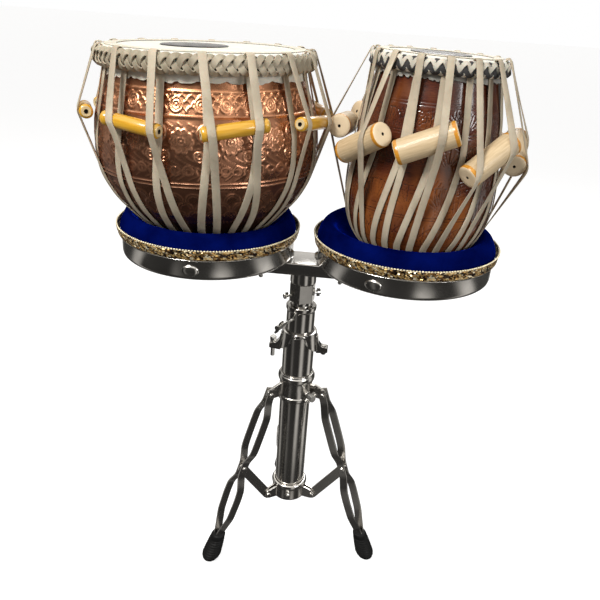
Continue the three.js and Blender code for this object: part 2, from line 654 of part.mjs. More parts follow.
function dowelGeometry({ radius, length, dome }) {
  const half = length / 2;
  return turned([
    [0, -half], [radius - dome, -half], [radius, -half + dome],
    [radius, half - dome], [radius - dome, half], [0, half],
  ], PIN_SEGMENTS);
}

function addDrum(name, drum, finishes) {
  const frame = new THREE.Group();
  frame.position.set(...drum.place);
  frame.rotation.y = radians(drum.lean);
  model.add(frame);
  const places = dowelPlaces(drum);
  addPiece(frame, `${name}_shell`, shellGeometry(drum), finishes.shell);
  addPiece(frame, `${name}_head`, headGeometry(drum), SKIN_FINISH);
  addPiece(frame, `${name}_kinar`, kinarGeometry(drum), KINAR_FINISH);
  addPiece(frame, `${name}_syahi`, syahiGeometry(drum), SYAHI_FINISH);
  addPiece(frame, `${name}_gajra`, gajraGeometry(drum), finishes.gajra);
  addPiece(frame, `${name}_kundal`, kundalGeometry(drum), STRAP_FINISH);
  addPiece(frame, `${name}_lacing`, lacingGeometry(drum, places), STRAP_FINISH);
  places.forEach((place, i) => {
    const around = new THREE.Group();
    around.rotation.z = radians(place.azimuth - 90);
    frame.add(around);
    const dowel = addPiece(around, `${name}_dowel_${i + 1}`, dowelGeometry(drum.dowel), finishes.dowel);
    dowel.position.set(place.distance, 0, place.height);
    dowel.rotation.x = radians(place.tilt - 90);
  });
}

// ---- the whole model -----------------------------------------------------------------------------
addBaseTube();
addLowerCollar();
addUpperCollar();
addTripod();
addHeightClamp();
addHeightClampBolt();
addMidTube();
addTopTube();
addCrossbar();
addTrayGroup('left', -1);
addTrayGroup('right', 1);
addDrum('bayan', BAYAN, { shell: COPPER, gajra: PLAIT, dowel: LACQUER });
addDrum('dayan', DAYAN, { shell: ROSEWOOD, gajra: BLACK_PLAIT, dowel: PALE_WOOD });

model.updateMatrixWorld(true);
const bounds = new THREE.Box3().setFromObject(model, true);
const centre = bounds.getCenter(new THREE.Vector3());
model.position.set(-centre.x, -centre.y, -bounds.min.z);
model.updateMatrixWorld(true);

export default model;
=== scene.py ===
# A copper bayan and a wooden dayan on a folding double stand: the looks, in metres, in the row frame.
import math

import bmesh
import bpy
import numpy as np
from mathutils import Matrix, Vector


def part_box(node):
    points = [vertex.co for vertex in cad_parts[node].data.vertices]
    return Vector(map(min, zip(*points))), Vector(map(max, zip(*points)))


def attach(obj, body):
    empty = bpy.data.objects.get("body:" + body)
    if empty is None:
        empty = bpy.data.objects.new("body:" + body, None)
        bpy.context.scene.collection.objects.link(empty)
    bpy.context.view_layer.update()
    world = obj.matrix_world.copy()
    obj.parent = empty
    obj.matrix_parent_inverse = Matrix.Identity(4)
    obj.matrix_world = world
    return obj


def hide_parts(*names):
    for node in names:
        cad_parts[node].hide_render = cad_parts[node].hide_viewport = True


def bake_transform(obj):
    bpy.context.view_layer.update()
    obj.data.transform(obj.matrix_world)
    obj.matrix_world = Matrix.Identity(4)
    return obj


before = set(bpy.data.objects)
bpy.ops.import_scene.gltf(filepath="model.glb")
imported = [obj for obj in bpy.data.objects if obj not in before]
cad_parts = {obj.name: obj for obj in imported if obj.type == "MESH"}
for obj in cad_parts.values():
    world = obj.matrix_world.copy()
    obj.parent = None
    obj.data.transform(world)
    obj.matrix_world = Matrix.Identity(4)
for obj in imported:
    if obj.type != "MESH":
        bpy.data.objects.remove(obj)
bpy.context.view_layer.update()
MM = 0.001

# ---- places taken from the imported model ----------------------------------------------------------
low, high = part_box("base_tube")
STAND = Matrix.Translation(((low.x + high.x) / 2, (low.y + high.y) / 2, low.z - 84 * MM))


def shift(x, y, z):
    return Matrix.Translation((x, y, z))


def turn(axis, degrees):
    return Matrix.Rotation(math.radians(degrees), 4, axis)


def spin(azimuth):
    """Turns the +X side of a part to an azimuth, which counts from the front towards the right."""
    return turn("Z", azimuth - 90)


def drum_frame(x, z, lean):
    return STAND @ shift(x * MM, 0, z * MM) @ turn("Y", lean)


# ---- camera, stage and light ---------------------------------------------------------------------
def add_camera():
    data = bpy.data.cameras.new("camera")
    data.lens = 38.2
    data.sensor_width = 36
    camera = bpy.data.objects.new("camera", data)
    bpy.context.scene.collection.objects.link(camera)
    forward = Vector((-0.0549, 0.9074, -0.4166)).normalized()
    up = Vector((-0.0947, 0.4106, 0.9069))
    right = forward.cross(up).normalized()
    up = right.cross(forward)
    place = Matrix((right, up, -forward)).transposed().to_4x4()
    place.translation = STAND @ (Vector((46.0, -802.3, 782.5)) * MM)
    camera.matrix_world = place
    bpy.context.scene.camera = camera


def add_area(name, place, target, size, power, color=(1, 1, 1)):
    data = bpy.data.lights.new(name, "AREA")
    data.shape = "DISK"
    data.size = size
    data.energy = power
    data.color = color
    light = bpy.data.objects.new(name, data)
    bpy.context.scene.collection.objects.link(light)
    light.location = place
    aim = Vector(target) - Vector(place)
    light.rotation_euler = aim.to_track_quat("-Z", "Y").to_euler()


class Nodes:
    """Short calls for the nodes of a world or a material."""

    def __init__(self, tree):
        self.tree = tree

    def node(self, kind, inputs=(), **settings):
        node = self.tree.nodes.new(kind)
        for key, value in settings.items():
            setattr(node, key, value)
        for key, value in dict(inputs).items():
            if hasattr(value, "is_output"):
                self.tree.links.new(value, node.inputs[key])
            else:
                node.inputs[key].default_value = value
        return node

    def ramp(self, value, *stops):
        node = self.node("ShaderNodeValToRGB", {"Fac": value})
        while len(node.color_ramp.elements) < len(stops):
            node.color_ramp.elements.new(0.5)
        for element, (at, color) in zip(node.color_ramp.elements, stops):
            element.position = at
            element.color = (*color, 1) if isinstance(color, tuple) else (color, color, color, 1)
        return node.outputs[0]

    def mix(self, a, b, factor, blend="MIX"):
        node = self.node("ShaderNodeMix", data_type="RGBA", blend_type=blend)
        for socket, value in ((node.inputs[0], factor), (node.inputs[6], a), (node.inputs[7], b)):
            if hasattr(value, "is_output"):
                self.tree.links.new(value, socket)
            else:
                socket.default_value = value if isinstance(value, float) else (*value, 1)
        return node.outputs[2]

    def math(self, operation, a, b):
        return self.node("ShaderNodeMath", {0: a, 1: b}, operation=operation).outputs[0]

    def vector(self, operation, a, b):
        return self.node("ShaderNodeVectorMath", {0: a, 1: b}, operation=operation).outputs[0]

    def spread(self, value, low, high):
        inputs = {"Value": value, "From Min": low, "From Max": high}
        return self.node("ShaderNodeMapRange", inputs).outputs[0]

    def axis(self, vector, name):
        return self.node("ShaderNodeSeparateXYZ", {0: vector}).outputs[name]


def add_world():
    """White behind, a soft dim room for diffuse light, and a dark studio with bright panels to reflect."""
    world = bpy.data.worlds.new("studio")
    world.use_nodes = True
    n = Nodes(world.node_tree)
    n.tree.nodes.clear()
    direction = n.node("ShaderNodeTexCoord").outputs["Generated"]
    noise = n.node("ShaderNodeTexNoise", {"Vector": direction, "Scale": 3.5, "Detail": 3.0})
    rough = n.vector("MULTIPLY", noise.outputs["Color"], (0.22, 0.22, 0.22))
    bent = n.vector("ADD", direction, rough)
    bent = n.vector("SUBTRACT", bent, (0.11, 0.11, 0.11))
    back = n.math("MULTIPLY", n.axis(bent, "Y"), -1.0)
    heading = n.spread(n.math("ARCTAN2", n.axis(bent, "X"), back), -math.pi, math.pi)
    panels = n.ramp(
        heading, (0.0, 0.9), (0.06, 0.75), (0.09, 0.05), (0.17, 0.02), (0.2, 0.55), (0.225, 0.5),
        (0.25, 0.03), (0.37, 0.012), (0.4, 0.2), (0.43, 0.03), (0.54, 0.02), (0.575, 0.75), (0.605, 0.6),
        (0.63, 0.04), (0.72, 0.02), (0.755, 0.95), (0.795, 0.8), (0.82, 0.05), (0.93, 0.06), (0.955, 0.85),
        (1.0, 0.9),
    )
    height = n.spread(n.axis(bent, "Z"), -1.0, 1.0)
    reach = n.ramp(height, (0.08, 0.1), (0.22, 1.0), (0.62, 0.9), (0.7, 0.25))
    ceiling = n.ramp(height, (0.0, 0.05), (0.3, 0.012), (0.6, 0.03), (0.72, 0.2), (0.8, 1.3), (1.0, 1.5))
    lit = n.math("ADD", n.math("MULTIPLY", panels, reach), ceiling)
    warm = n.mix(lit, (1.0, 0.97, 0.92), 1.0, "MULTIPLY")
    path = n.node("ShaderNodeLightPath")
    studio = n.node("ShaderNodeBackground", {"Color": warm, "Strength": 1.0})
    room = n.node("ShaderNodeBackground", {"Color": (1, 0.985, 0.96, 1), "Strength": 0.3})
    plain = n.node("ShaderNodeBackground", {"Color": (1, 1, 1, 1), "Strength": 1.0})
    for ray, shown in (("Is Glossy Ray", studio), ("Is Camera Ray", plain)):
        inputs = {0: path.outputs[ray], 1: room.outputs[0], 2: shown.outputs[0]}
        room = n.node("ShaderNodeMixShader", inputs)
    n.node("ShaderNodeOutputWorld", {"Surface": room.outputs[0]})
    bpy.context.scene.world = world


def add_stage():
    bpy.ops.mesh.primitive_plane_add(size=60, location=(0, 0, -0.0004))
    floor = bpy.context.object
    floor.name = "floor"
    floor.visible_glossy = False
    floor.visible_diffuse = False
    paper = NewMaterial("paper", (0.42, 0.42, 0.42), 0.9)
    paper.set(**{"Emission Color": (1, 1, 1, 1), "Emission Strength": 0.78})
    floor.data.materials.append(paper.material)
    centre = (0, 0, 0.5)
    add_area("key", (-0.9, -1.3, 2.1), centre, 0.8, 52, (1, 0.98, 0.95))
    add_area("fill", (1.6, -1.2, 1.2), centre, 0.8, 14)
    add_area("back", (0.3, 1.6, 1.9), centre, 1.0, 18)


# ---- materials -----------------------------------------------------------------------------------
class NewMaterial(Nodes):
    """A principled material, with the textures that feed it."""

    def __init__(self, name, color, roughness, metallic=0.0):
        self.material = bpy.data.materials.new(name)
        self.material.use_nodes = True
        super().__init__(self.material.node_tree)
        self.shader = self.tree.nodes["Principled BSDF"]
        self.set(**{"Base Color": (*color, 1), "Roughness": roughness, "Metallic": metallic})
        self.material.diffuse_color = (*color, 1)

    def set(self, **values):
        for key, value in values.items():
            self.shader.inputs[key].default_value = value

    def feed(self, name, output):
        self.tree.links.new(output, self.shader.inputs[name])

    def coords(self, space="Object", scale=(1, 1, 1)):
        source = self.node("ShaderNodeTexCoord")
        inputs = {"Vector": source.outputs[space], "Scale": scale}
        return self.node("ShaderNodeMapping", inputs).outputs[0]

    def noise(self, vector, scale, detail=4.0, roughness=0.55):
        inputs = {"Vector": vector, "Scale": scale, "Detail": detail, "Roughness": roughness}
        return self.node("ShaderNodeTexNoise", inputs).outputs["Fac"]

    def relief(self):
        return self.node("ShaderNodeAttribute", attribute_name="relief").outputs["Fac"]

    def bump(self, height, strength, distance, **more):
        inputs = {"Height": height, "Strength": strength, "Distance": distance, **more}
        self.feed("Normal", self.node("ShaderNodeBump", inputs).outputs[0])


def chrome_material(name, tint, roughness):
    m = NewMaterial(name, tint, roughness, 1.0)
    where = m.coords()
    smudge = m.noise(where, 18.0, 5.0)
    scratch = m.noise(m.coords(scale=(30, 30, 400)), 8.0, 3.0)
    m.feed("Roughness", m.ramp(smudge, (0.3, roughness), (0.75, roughness + 0.16)))
    dark = tuple(0.72 * c for c in tint)
    m.feed("Base Color", m.mix(tint, dark, m.ramp(m.noise(where, 9.0), (0.35, 0.0), (0.7, 1.0))))
    m.bump(scratch, 0.05, 0.0002)
    return m.material


def rubber_material():
    m = NewMaterial("rubber", (0.008, 0.008, 0.008), 0.62)
    m.set(**{"Specular IOR Level": 0.12})
    m.feed("Roughness", m.ramp(m.noise(m.coords(), 60.0), (0.3, 0.42), (0.7, 0.6)))
    m.bump(m.noise(m.coords(), 900.0), 0.25, 0.0003)
    return m.material


def copper_material():
    m = NewMaterial("copper", (0.66, 0.27, 0.13), 0.24, 0.9)
    where = m.coords()
    low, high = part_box("bayan_shell")
    # Painted shade and light: the copper is darker towards the bottom of the bowl and lighter towards its
    # top, with a random cloudy tone mixed in.
    share = m.spread(m.axis(where, "Z"), low.z, high.z)
    shade_by_height_and_cloud = m.math("ADD", share, m.math("MULTIPLY", m.noise(where, 11.0, 5.0), 0.34))
    tone = m.ramp(
        shade_by_height_and_cloud, (0.3, (0.16, 0.062, 0.034)), (0.6, (0.42, 0.19, 0.11)), (0.85, (0.66, 0.32, 0.18)),
        (1.12, (0.72, 0.33, 0.165)),
    )
    relief = m.relief()
    # Painted shade darkens the low ground between the raised ornament, and a painted highlight lightens the
    # tops of the ornament.
    shaded = m.mix((0.1, 0.038, 0.022), tone, m.ramp(relief, (0.0, 0.5), (0.4, 1.0)))
    m.feed("Base Color", m.mix(shaded, (0.9, 0.57, 0.38), m.ramp(relief, (0.65, 0.0), (1.0, 0.5))))
    m.feed("Roughness", m.ramp(m.noise(where, 45.0, 6.0), (0.3, 0.2), (0.75, 0.42)))
    m.bump(m.noise(where, 260.0, 5.0), 0.35, 0.0007)
    return m.material


def rosewood_material():
    m = NewMaterial("rosewood", (0.2, 0.045, 0.018), 0.2)
    m.set(**{"Coat Weight": 0.7, "Coat Roughness": 0.1})
    grain = m.noise(m.coords("UV", (60, 900, 1)), 1.4, 8.0, 0.6)
    cloud = m.noise(m.coords(), 14.0, 3.0)
    dark, middle, light = (0.028, 0.005, 0.002), (0.085, 0.018, 0.007), (0.16, 0.04, 0.012)
    tone = m.ramp(grain, (0.25, dark), (0.55, middle), (0.8, light))
    low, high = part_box("dayan_shell")
    share = m.spread(m.axis(m.coords(), "Z"), low.z, high.z)
    amber = m.math("ADD", cloud, m.math("MULTIPLY", share, -0.35))
    tone = m.mix(tone, (0.36, 0.11, 0.02), m.ramp(amber, (0.28, 0.0), (0.55, 0.7)))
    # Painted shade: the carved cut lines are near black.
    m.feed("Base Color", m.mix((0.02, 0.005, 0.003), tone, m.ramp(m.relief(), (0.1, 0.0), (0.7, 1.0))))
    m.bump(grain, 0.12, 0.0004)
    return m.material


def hide_material(name, light, dark, spot, bump=0.5, scale=320.0):
    m = NewMaterial(name, light, 0.68)
    where = m.coords()
    cloud = m.noise(where, 22.0, 6.0)
    tone = m.mix(dark, light, m.ramp(cloud, (0.3, 0.0), (0.68, 1.0)))
    fleck = m.noise(where, 150.0, 4.0)
    m.feed("Base Color", m.mix(tone, spot, m.ramp(fleck, (0.6, 0.0), (0.82, 0.5))))
    m.set(**{"Subsurface Weight": 0.06, "Subsurface Scale": 0.002})
    m.bump(m.noise(where, scale, 6.0), bump, 0.0006)
    return m.material


def syahi_material():
    m = NewMaterial("syahi", (0.012, 0.011, 0.013), 0.22)
    where = m.coords()
    cells = m.node("ShaderNodeTexVoronoi", {"Vector": where, "Scale": 420.0}, feature="DISTANCE_TO_EDGE")
    dark, grey = (0.008, 0.007, 0.009), (0.05, 0.044, 0.046)
    m.feed("Base Color", m.ramp(m.noise(where, 40.0), (0.3, dark), (0.8, grey)))
    m.feed("Roughness", m.ramp(m.noise(where, 70.0), (0.3, 0.14), (0.8, 0.36)))
    m.bump(cells.outputs["Distance"], 0.12, 0.0001)
    return m.material


def turned_wood_material(name, light, dark, roughness, coat):
    m = NewMaterial(name, light, roughness)
    m.set(**{"Coat Weight": coat, "Coat Roughness": 0.12})
    grain = m.noise(m.coords("UV", (500, 40, 1)), 1.0, 7.0, 0.6)
    cloud = m.noise(m.coords(), 35.0, 3.0)
    tone = m.ramp(grain, (0.3, dark), (0.62, light))
    m.feed("Base Color", m.mix(tone, tuple(0.8 * c for c in light), m.ramp(cloud, (0.5, 0.0), (0.8, 0.6))))
    m.bump(grain, 0.2, 0.0003)
    return m.material


def end_grain_material(name, light, dark):
    m = NewMaterial(name, light, 0.6)
    radius = m.axis(m.coords("UV"), "Y")
    across = m.node("ShaderNodeCombineXYZ", {"X": radius}).outputs[0]
    rings = m.node("ShaderNodeTexWave", {"Vector": across, "Scale": 260.0, "Distortion": 1.5})
    fleck = m.noise(m.coords(), 300.0, 4.0)
    tone = m.mix(light, dark, m.ramp(rings.outputs["Fac"], (0.5, 0.0), (0.95, 0.35)))
    m.feed("Base Color", m.mix(tone, dark, m.ramp(fleck, (0.6, 0.0), (0.85, 0.4))))
    m.bump(rings.outputs["Fac"], 0.2, 0.0002)
    return m.material


def velvet_material():
    m = NewMaterial("velvet", (0.004, 0.02, 0.24), 0.85)
    where = m.coords()
    cloud = m.noise(where, 26.0, 5.0)
    m.feed("Base Color", m.ramp(cloud, (0.3, (0.0003, 0.0014, 0.032)), (0.7, (0.0008, 0.0045, 0.085))))
    m.set(**{"Sheen Weight": 0.55, "Sheen Roughness": 0.22, "Sheen Tint": (0.002, 0.035, 0.8, 1),
             "Specular IOR Level": 0.0})
    m.bump(m.noise(where, 1400.0, 3.0), 0.5, 0.0006)
    return m.material


def brocade_material():
    m = NewMaterial("brocade", (0.6, 0.38, 0.12), 0.35, 0.6)
    where = m.coords("UV")
    weave = m.node("ShaderNodeTexVoronoi", {"Vector": where, "Scale": 430.0}).outputs["Color"]
    pick = m.node("ShaderNodeSeparateColor", {0: weave}).outputs[0]
    tone = m.ramp(
        pick, (0.0, (0.003, 0.0015, 0.0006)), (0.36, (0.03, 0.012, 0.004)), (0.52, (0.34, 0.17, 0.045)),
        (0.74, (0.85, 0.58, 0.22)), (1.0, (1.0, 0.92, 0.7)),
    )
    m.feed("Base Color", tone)
    m.feed("Roughness", m.ramp(pick, (0.2, 0.55), (0.9, 0.2)))
    tilt = m.vector("MULTIPLY", m.vector("SUBTRACT", weave, (0.5, 0.5, 0.5)), (0.9, 0.9, 0.9))
    glint = m.vector("ADD", m.node("ShaderNodeNewGeometry").outputs["Normal"], tilt)
    m.bump(pick, 0.4, 0.0008, Normal=m.vector("NORMALIZE", glint, (0, 0, 0)))
    return m.material


def plain_material(name, color, roughness, metallic=0.0, bump=0.2, scale=500.0):
    m = NewMaterial(name, color, roughness, metallic)
    dark = tuple(0.6 * c for c in color)
    m.feed("Base Color", m.mix(color, dark, m.ramp(m.noise(m.coords(), 90.0), (0.4, 0.0), (0.75, 1.0))))
    m.bump(m.noise(m.coords(), scale), bump, 0.0004)
    return m.material


add_camera()
add_world()
CHROME = chrome_material("chrome", (0.62, 0.6, 0.57), 0.09)
STEEL = chrome_material("steel", (0.78, 0.77, 0.74), 0.16)
RUBBER = rubber_material()
COPPER = copper_material()
ROSEWOOD = rosewood_material()
SKIN = hide_material("skin", (0.77, 0.755, 0.69), (0.68, 0.655, 0.575), (0.52, 0.47, 0.38), 0.15)
RIM_SKIN = hide_material("rim_skin", (0.7, 0.66, 0.56), (0.56, 0.51, 0.4), (0.42, 0.36, 0.26), 0.25)
RAGGED_SKIN = hide_material("ragged_skin", (0.72, 0.68, 0.58), (0.4, 0.36, 0.29), (0.3, 0.25, 0.18), 0.6)
SYAHI = syahi_material()
STRAP = hide_material("strap", (0.55, 0.475, 0.355), (0.36, 0.3, 0.215), (0.22, 0.18, 0.12), 0.8, 420.0)
PLAIT = hide_material("plait", (0.46, 0.4, 0.295), (0.22, 0.18, 0.12), (0.08, 0.06, 0.035), 0.7)
WHITE_PLAIT = hide_material("white_plait", (0.7, 0.65, 0.55), (0.45, 0.41, 0.33), (0.25, 0.22, 0.17), 0.5)
GREY_SKIN = hide_material("grey_skin", (0.36, 0.34, 0.3), (0.17, 0.16, 0.14), (0.1, 0.09, 0.08), 0.6)
BLACK_PLAIT = hide_material("black_plait", (0.045, 0.042, 0.042), (0.015, 0.014, 0.014), (0.1, 0.09, 0.09))
# Painted shade: the hoop's core is near black, for the shade in the gaps between the plaited strands.
SHADED_CORE = plain_material("hoop_core_shade", (0.05, 0.04, 0.032), 0.8)
LACQUER = turned_wood_material("yellow_lacquer", (0.72, 0.4, 0.03), (0.56, 0.27, 0.012), 0.3, 0.7)
PALE_WOOD = turned_wood_material("pale_wood", (0.66, 0.51, 0.31), (0.5, 0.36, 0.2), 0.5, 0.15)
PAINTED_RIM = turned_wood_material("painted_rim", (0.66, 0.29, 0.02), (0.5, 0.19, 0.01), 0.35, 0.5)
END_GRAIN = end_grain_material("end_grain", (0.76, 0.62, 0.42), (0.55, 0.38, 0.2))
CREAM_END = end_grain_material("cream_end", (0.64, 0.5, 0.27), (0.42, 0.29, 0.12))
# Painted shade: the small hole in each dowel's end is near black.
PAINTED_HOLE_SHADE = plain_material("hole", (0.02, 0.014, 0.01), 0.9)
VELVET = velvet_material()
BROCADE = brocade_material()
BEAD = plain_material("bead", (0.95, 0.84, 0.58), 0.3, 0.2)
add_stage()


# ---- mesh helpers --------------------------------------------------------------------------------
class Build:
    """Vertices in millimetres, faces and their material numbers, gathered for one object."""

    def __init__(self):
        self.verts, self.faces, self.groups, self.uvs, self.relief = [], [], [], [], []
        self.count = 0

    def add(self, verts, faces, group=0, uv=None, relief=None):
        verts = np.asarray(verts, float)
        self.verts.append(verts)
        self.faces.extend([tuple(self.count + i for i in f) for f in faces])
        self.groups.extend(group if isinstance(group, list) else [group] * len(faces))
        self.uvs.append(np.zeros((len(verts), 2)) if uv is None else uv)
        self.relief.append(np.ones(len(verts)) if relief is None else relief)
        self.count += len(verts)


def make(name, build, matrix, materials, body=None, stands_for=(), bevel=0, sharp=35):
    """The object of a build. The matrix turns the build's own frame into the row's, in metres."""
    mesh = bpy.data.meshes.new(name)
    world = np.array(matrix)
    verts = np.concatenate(build.verts) * MM @ world[:3, :3].T + world[:3, 3]
    mesh.from_pydata(verts.tolist(), [], build.faces)
    mesh.validate()
    work = bmesh.new()
    work.from_mesh(mesh)
    bmesh.ops.recalc_face_normals(work, faces=work.faces)
    limit = math.radians(sharp)
    for edge in work.edges:
        edge.smooth = len(edge.link_faces) == 2 and edge.calc_face_angle(0) < limit
    work.to_mesh(mesh)
    work.free()
    for material in materials:
        mesh.materials.append(material)
    if len(mesh.polygons) == len(build.groups):
        mesh.polygons.foreach_set("material_index", build.groups)
    mesh.polygons.foreach_set("use_smooth", [True] * len(mesh.polygons))
    loops = np.zeros(len(mesh.loops), int)
    mesh.loops.foreach_get("vertex_index", loops)
    uv = np.concatenate(build.uvs)[loops]
    mesh.uv_layers.new(name="UVMap").data.foreach_set("uv", uv.ravel())
    relief = np.concatenate(build.relief).astype(np.float32)
    mesh.attributes.new("relief", "FLOAT", "POINT").data.foreach_set("value", relief)
    obj = bpy.data.objects.new(name, mesh)
    bpy.context.scene.collection.objects.link(obj)
    if bevel:
        add_bevel(obj, bevel, 3, sharp)
    if body:
        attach(obj, body)
    if stands_for:
        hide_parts(*stands_for)
    return obj


def add_bevel(obj, width, segments, angle):
    edge = obj.modifiers.new("bevel", "BEVEL")
    edge.width = width * MM
    edge.segments = segments
    edge.limit_method = "ANGLE"
    edge.angle_limit = math.radians(angle)


def stand_part(node, build, body, bevel=0, sharp=35, matrix=STAND, materials=(CHROME,)):
    """A smooth piece that stands for a node of the stand."""
    return make(f"{node}_look", build, matrix, materials, body, [node], bevel, sharp)


def drum_part(drum, node, build, materials, sharp=60, body="", more=()):
    """A smooth piece that stands for a node of a drum, and rides on the drum or on its own body."""
    name = drum["name"]
    stands_for = [f"{name}_{n}" for n in (node, *more)]
    make(f"{name}_{node}_look", build, drum["frame"], materials, name + body, stands_for, 0, sharp)


def grid(rows, columns, wrap=False):
    """The faces of rows of vertices that close on themselves; wrap joins the last row to the first."""
    i = np.arange(columns)
    k = (i + 1) % columns
    faces = []
    for row in range(rows if wrap else rows - 1):
        low, high = row * columns, (row + 1) % rows * columns
        faces.extend(np.stack([low + i, low + k, high + k, high + i], axis=1).tolist())
    return faces


def ring_points(angles, r, z):
    """Points at the angles about Z, with a radius and a height for each or for all."""
    return np.stack([r * np.cos(angles), r * np.sin(angles), z + 0 * angles], axis=-1)


def circle(r, z, a, b, steps):
    """An ellipse of half-axes a and b about a radius and height, as a lathe's closed profile."""
    angles = np.arange(steps) * 2 * math.pi / steps
    return np.stack([r + a * np.cos(angles), z + b * np.sin(angles)], axis=1)


def random_waves(rng, angles, orders, size):
    """A sum of waves round the circle: each order with a random size and phase."""
    return sum(rng.normal() * size(k) * np.cos(k * angles + rng.uniform(0, 6.28)) for k in orders)


def unit(vectors):
    return vectors / np.linalg.norm(vectors, axis=1)[:, None]


def travelled(points):
    """How far each point of a line is along it."""
    return np.concatenate([[0], np.cumsum(np.linalg.norm(np.diff(points, axis=0), axis=1))])


def lathe(build, profile, segments, groups=0, closed=False, wobble=None):
    """A surface of revolution about Z. An open profile starts and ends on the axis."""
    profile = np.asarray(profile, float)
    count = len(profile)
    angles = np.arange(segments) * 2 * math.pi / segments
    lengths = travelled(profile)
    verts, uv, index = [], [], []
    for i, (r, z) in enumerate(profile):
        if r < 1e-6 and not closed:
            index.append([len(verts)] * segments)
            verts.append((0, 0, z))
            uv.append((0, lengths[i] * MM))
            continue
        index.append(list(range(len(verts), len(verts) + segments)))
        for a in angles:
            grown = r + (wobble(a, r, z) if wobble else 0)
            verts.append((grown * math.cos(a), grown * math.sin(a), z))
            uv.append((a * max(r, 1) * MM, lengths[i] * MM))
    faces, kinds = [], []
    for i in range(count if closed else count - 1):
        k = (i + 1) % count
        for j in range(segments):
            n = (j + 1) % segments
            face = [index[i][j], index[i][n], index[k][n], index[k][j]]
            face = list(dict.fromkeys(face))
            if len(face) > 2:
                faces.append(face)
                kinds.append(groups if isinstance(groups, int) else groups[i])
    build.add(verts, faces, kinds, np.array(uv))
    return build


def moved(build_part, matrix):
    """The last thing that was added to a build, moved by a matrix with millimetres in it."""
    world = np.array(matrix)
    build_part.verts[-1] = build_part.verts[-1] @ world[:3, :3].T + world[:3, 3]
    return build_part


def rounded(points, radius, closed=False, steps=3):
    """A polyline with its corners turned into small arcs."""
    pts = [np.asarray(p, float) for p in points]
    out = []
    for i, here in enumerate(pts):
        if not closed and i in (0, len(pts) - 1):
            out.append(here)
            continue
        before, after = pts[i - 1], pts[(i + 1) % len(pts)]
        to_before, to_after = before - here, after - here
        reach = min(radius, 0.45 * np.linalg.norm(to_before), 0.45 * np.linalg.norm(to_after))
        start = here + to_before / np.linalg.norm(to_before) * reach
        end = here + to_after / np.linalg.norm(to_after) * reach
        for t in np.linspace(0, 1, steps + 1):
            out.append((1 - t) ** 2 * start + 2 * t * (1 - t) * here + t * t * end)
    return np.array(out)


def flowing(points, count):
    """Points spaced evenly along a smooth curve through the given points."""
    pts = np.asarray(points, float)
    keys = travelled(pts)
    slopes = np.gradient(pts, keys, axis=0)
    t = np.linspace(0, keys[-1], 12 * count)
    i = np.clip(np.searchsorted(keys, t, side="right") - 1, 0, len(keys) - 2)
    h = (keys[i + 1] - keys[i])[:, None]
    u = ((t - keys[i])[:, None]) / h
    curve = (
        (2 * u**3 - 3 * u**2 + 1) * pts[i] + (u**3 - 2 * u**2 + u) * h * slopes[i]
        + (3 * u**2 - 2 * u**3) * pts[i + 1] + (u**3 - u**2) * h * slopes[i + 1]
    )
    return evenly(curve, count)


def evenly(points, count):
    pts = np.asarray(points, float)
    keys = travelled(pts)
    t = np.linspace(0, keys[-1], count)
    return np.stack([np.interp(t, keys, pts[:, k]) for k in range(pts.shape[1])], axis=1)


# Sections of a strip: how far across its width and its thickness each corner is.
SECTION = [
    (0, 0.25), (0, 0.75), (0.07, 1), (0.5, 1.08), (0.93, 1), (1, 0.75), (1, 0.25), (0.93, 0), (0.07, 0),
]
FLAT = [(0, 0.12), (0, 0.88), (0.03, 1), (0.97, 1), (1, 0.88), (1, 0.12), (0.97, 0), (0.03, 0)]


def ribbon(build, left, right, normals, thickness, group=0, loop=False, section=SECTION):
    """A flat strip between two edge lines, as thick as said along its normals."""
    n, k = len(left), len(section)
    length = travelled(left)
    width = np.linalg.norm(right - left, axis=1)
    verts = np.zeros((n, k, 3))
    uv = np.zeros((n, k, 2))
    for j, (s, t) in enumerate(section):
        verts[:, j] = left + s * (right - left) + t * thickness * normals
        uv[:, j] = np.stack([s * width, length], axis=1) * MM
    faces = grid(n, k, loop)
    if not loop:
        faces.append(tuple(range(k - 1, -1, -1)))
        faces.append(tuple((n - 1) * k + j for j in range(k)))
    build.add(verts.reshape(-1, 3), faces, group, uv.reshape(-1, 2))
    return build


def prism(build, outline, thickness):
    """A plate with its outline in the X-Z plane, centred on that plane."""
    k = len(outline)
    half = thickness / 2
    verts = [(x, -half, z) for x, z in outline] + [(x, half, z) for x, z in outline]
    faces = [tuple(range(k)), tuple(range(2 * k - 1, k - 1, -1))]
    faces += [(i, (i + 1) % k, k + (i + 1) % k, k + i) for i in range(k)]
    build.add(verts, faces)
    return build


# ---- stand ---------------------------------------------------------------------------------------
LEGS = {"right": 69.4, "rear": 189.4, "left": 309.4}
LEG_LEAN = 19.7


def build_column():
    base = [(20.5, 84), (22.3, 84), (22.3, 364), (20.5, 364)]
    mid = [(15.5, 215), (20, 215), (20, 401), (20.6, 402), (21.3, 403.4), (21.3, 408.2), (20.2, 409.1),
           (15.5, 409)]
    for node, body, profile in (("base_tube", "base", base), ("mid_tube", "mid_tube", mid)):
        stand_part(node, lathe(Build(), rounded(profile, 0.6, True), 96, closed=True), body)
    top = lathe(Build(), rounded([(13, 330), (15, 330), (15, 415), (13, 415)], 0.5, True), 72, closed=True)
    hexagon, bore = (np.radians(np.arange(n) * 360 / n - 98) for n in (6, 60))
    verts = np.vstack([ring_points(a, r, z) for a, r in ((hexagon, 18.5), (bore, 9.5)) for z in (415, 442)])
    faces = [(i, (i + 1) % 6, 6 + (i + 1) % 6, 6 + i) for i in range(6)]
    faces += [(12 + i, 12 + (i + 1) % 60, 72 + (i + 1) % 60, 72 + i) for i in range(60)]
    for side in range(6):
        for outer, inner in ((0, 12), (6, 72)):
            a, b = outer + side, outer + (side + 1) % 6
            ring = [inner + (10 * side + k) % 60 for k in range(11)]
            faces.append((a, *ring, b))
    top.add(verts, faces)
    stand_part("top_tube", top, "top_tube", 0.7)


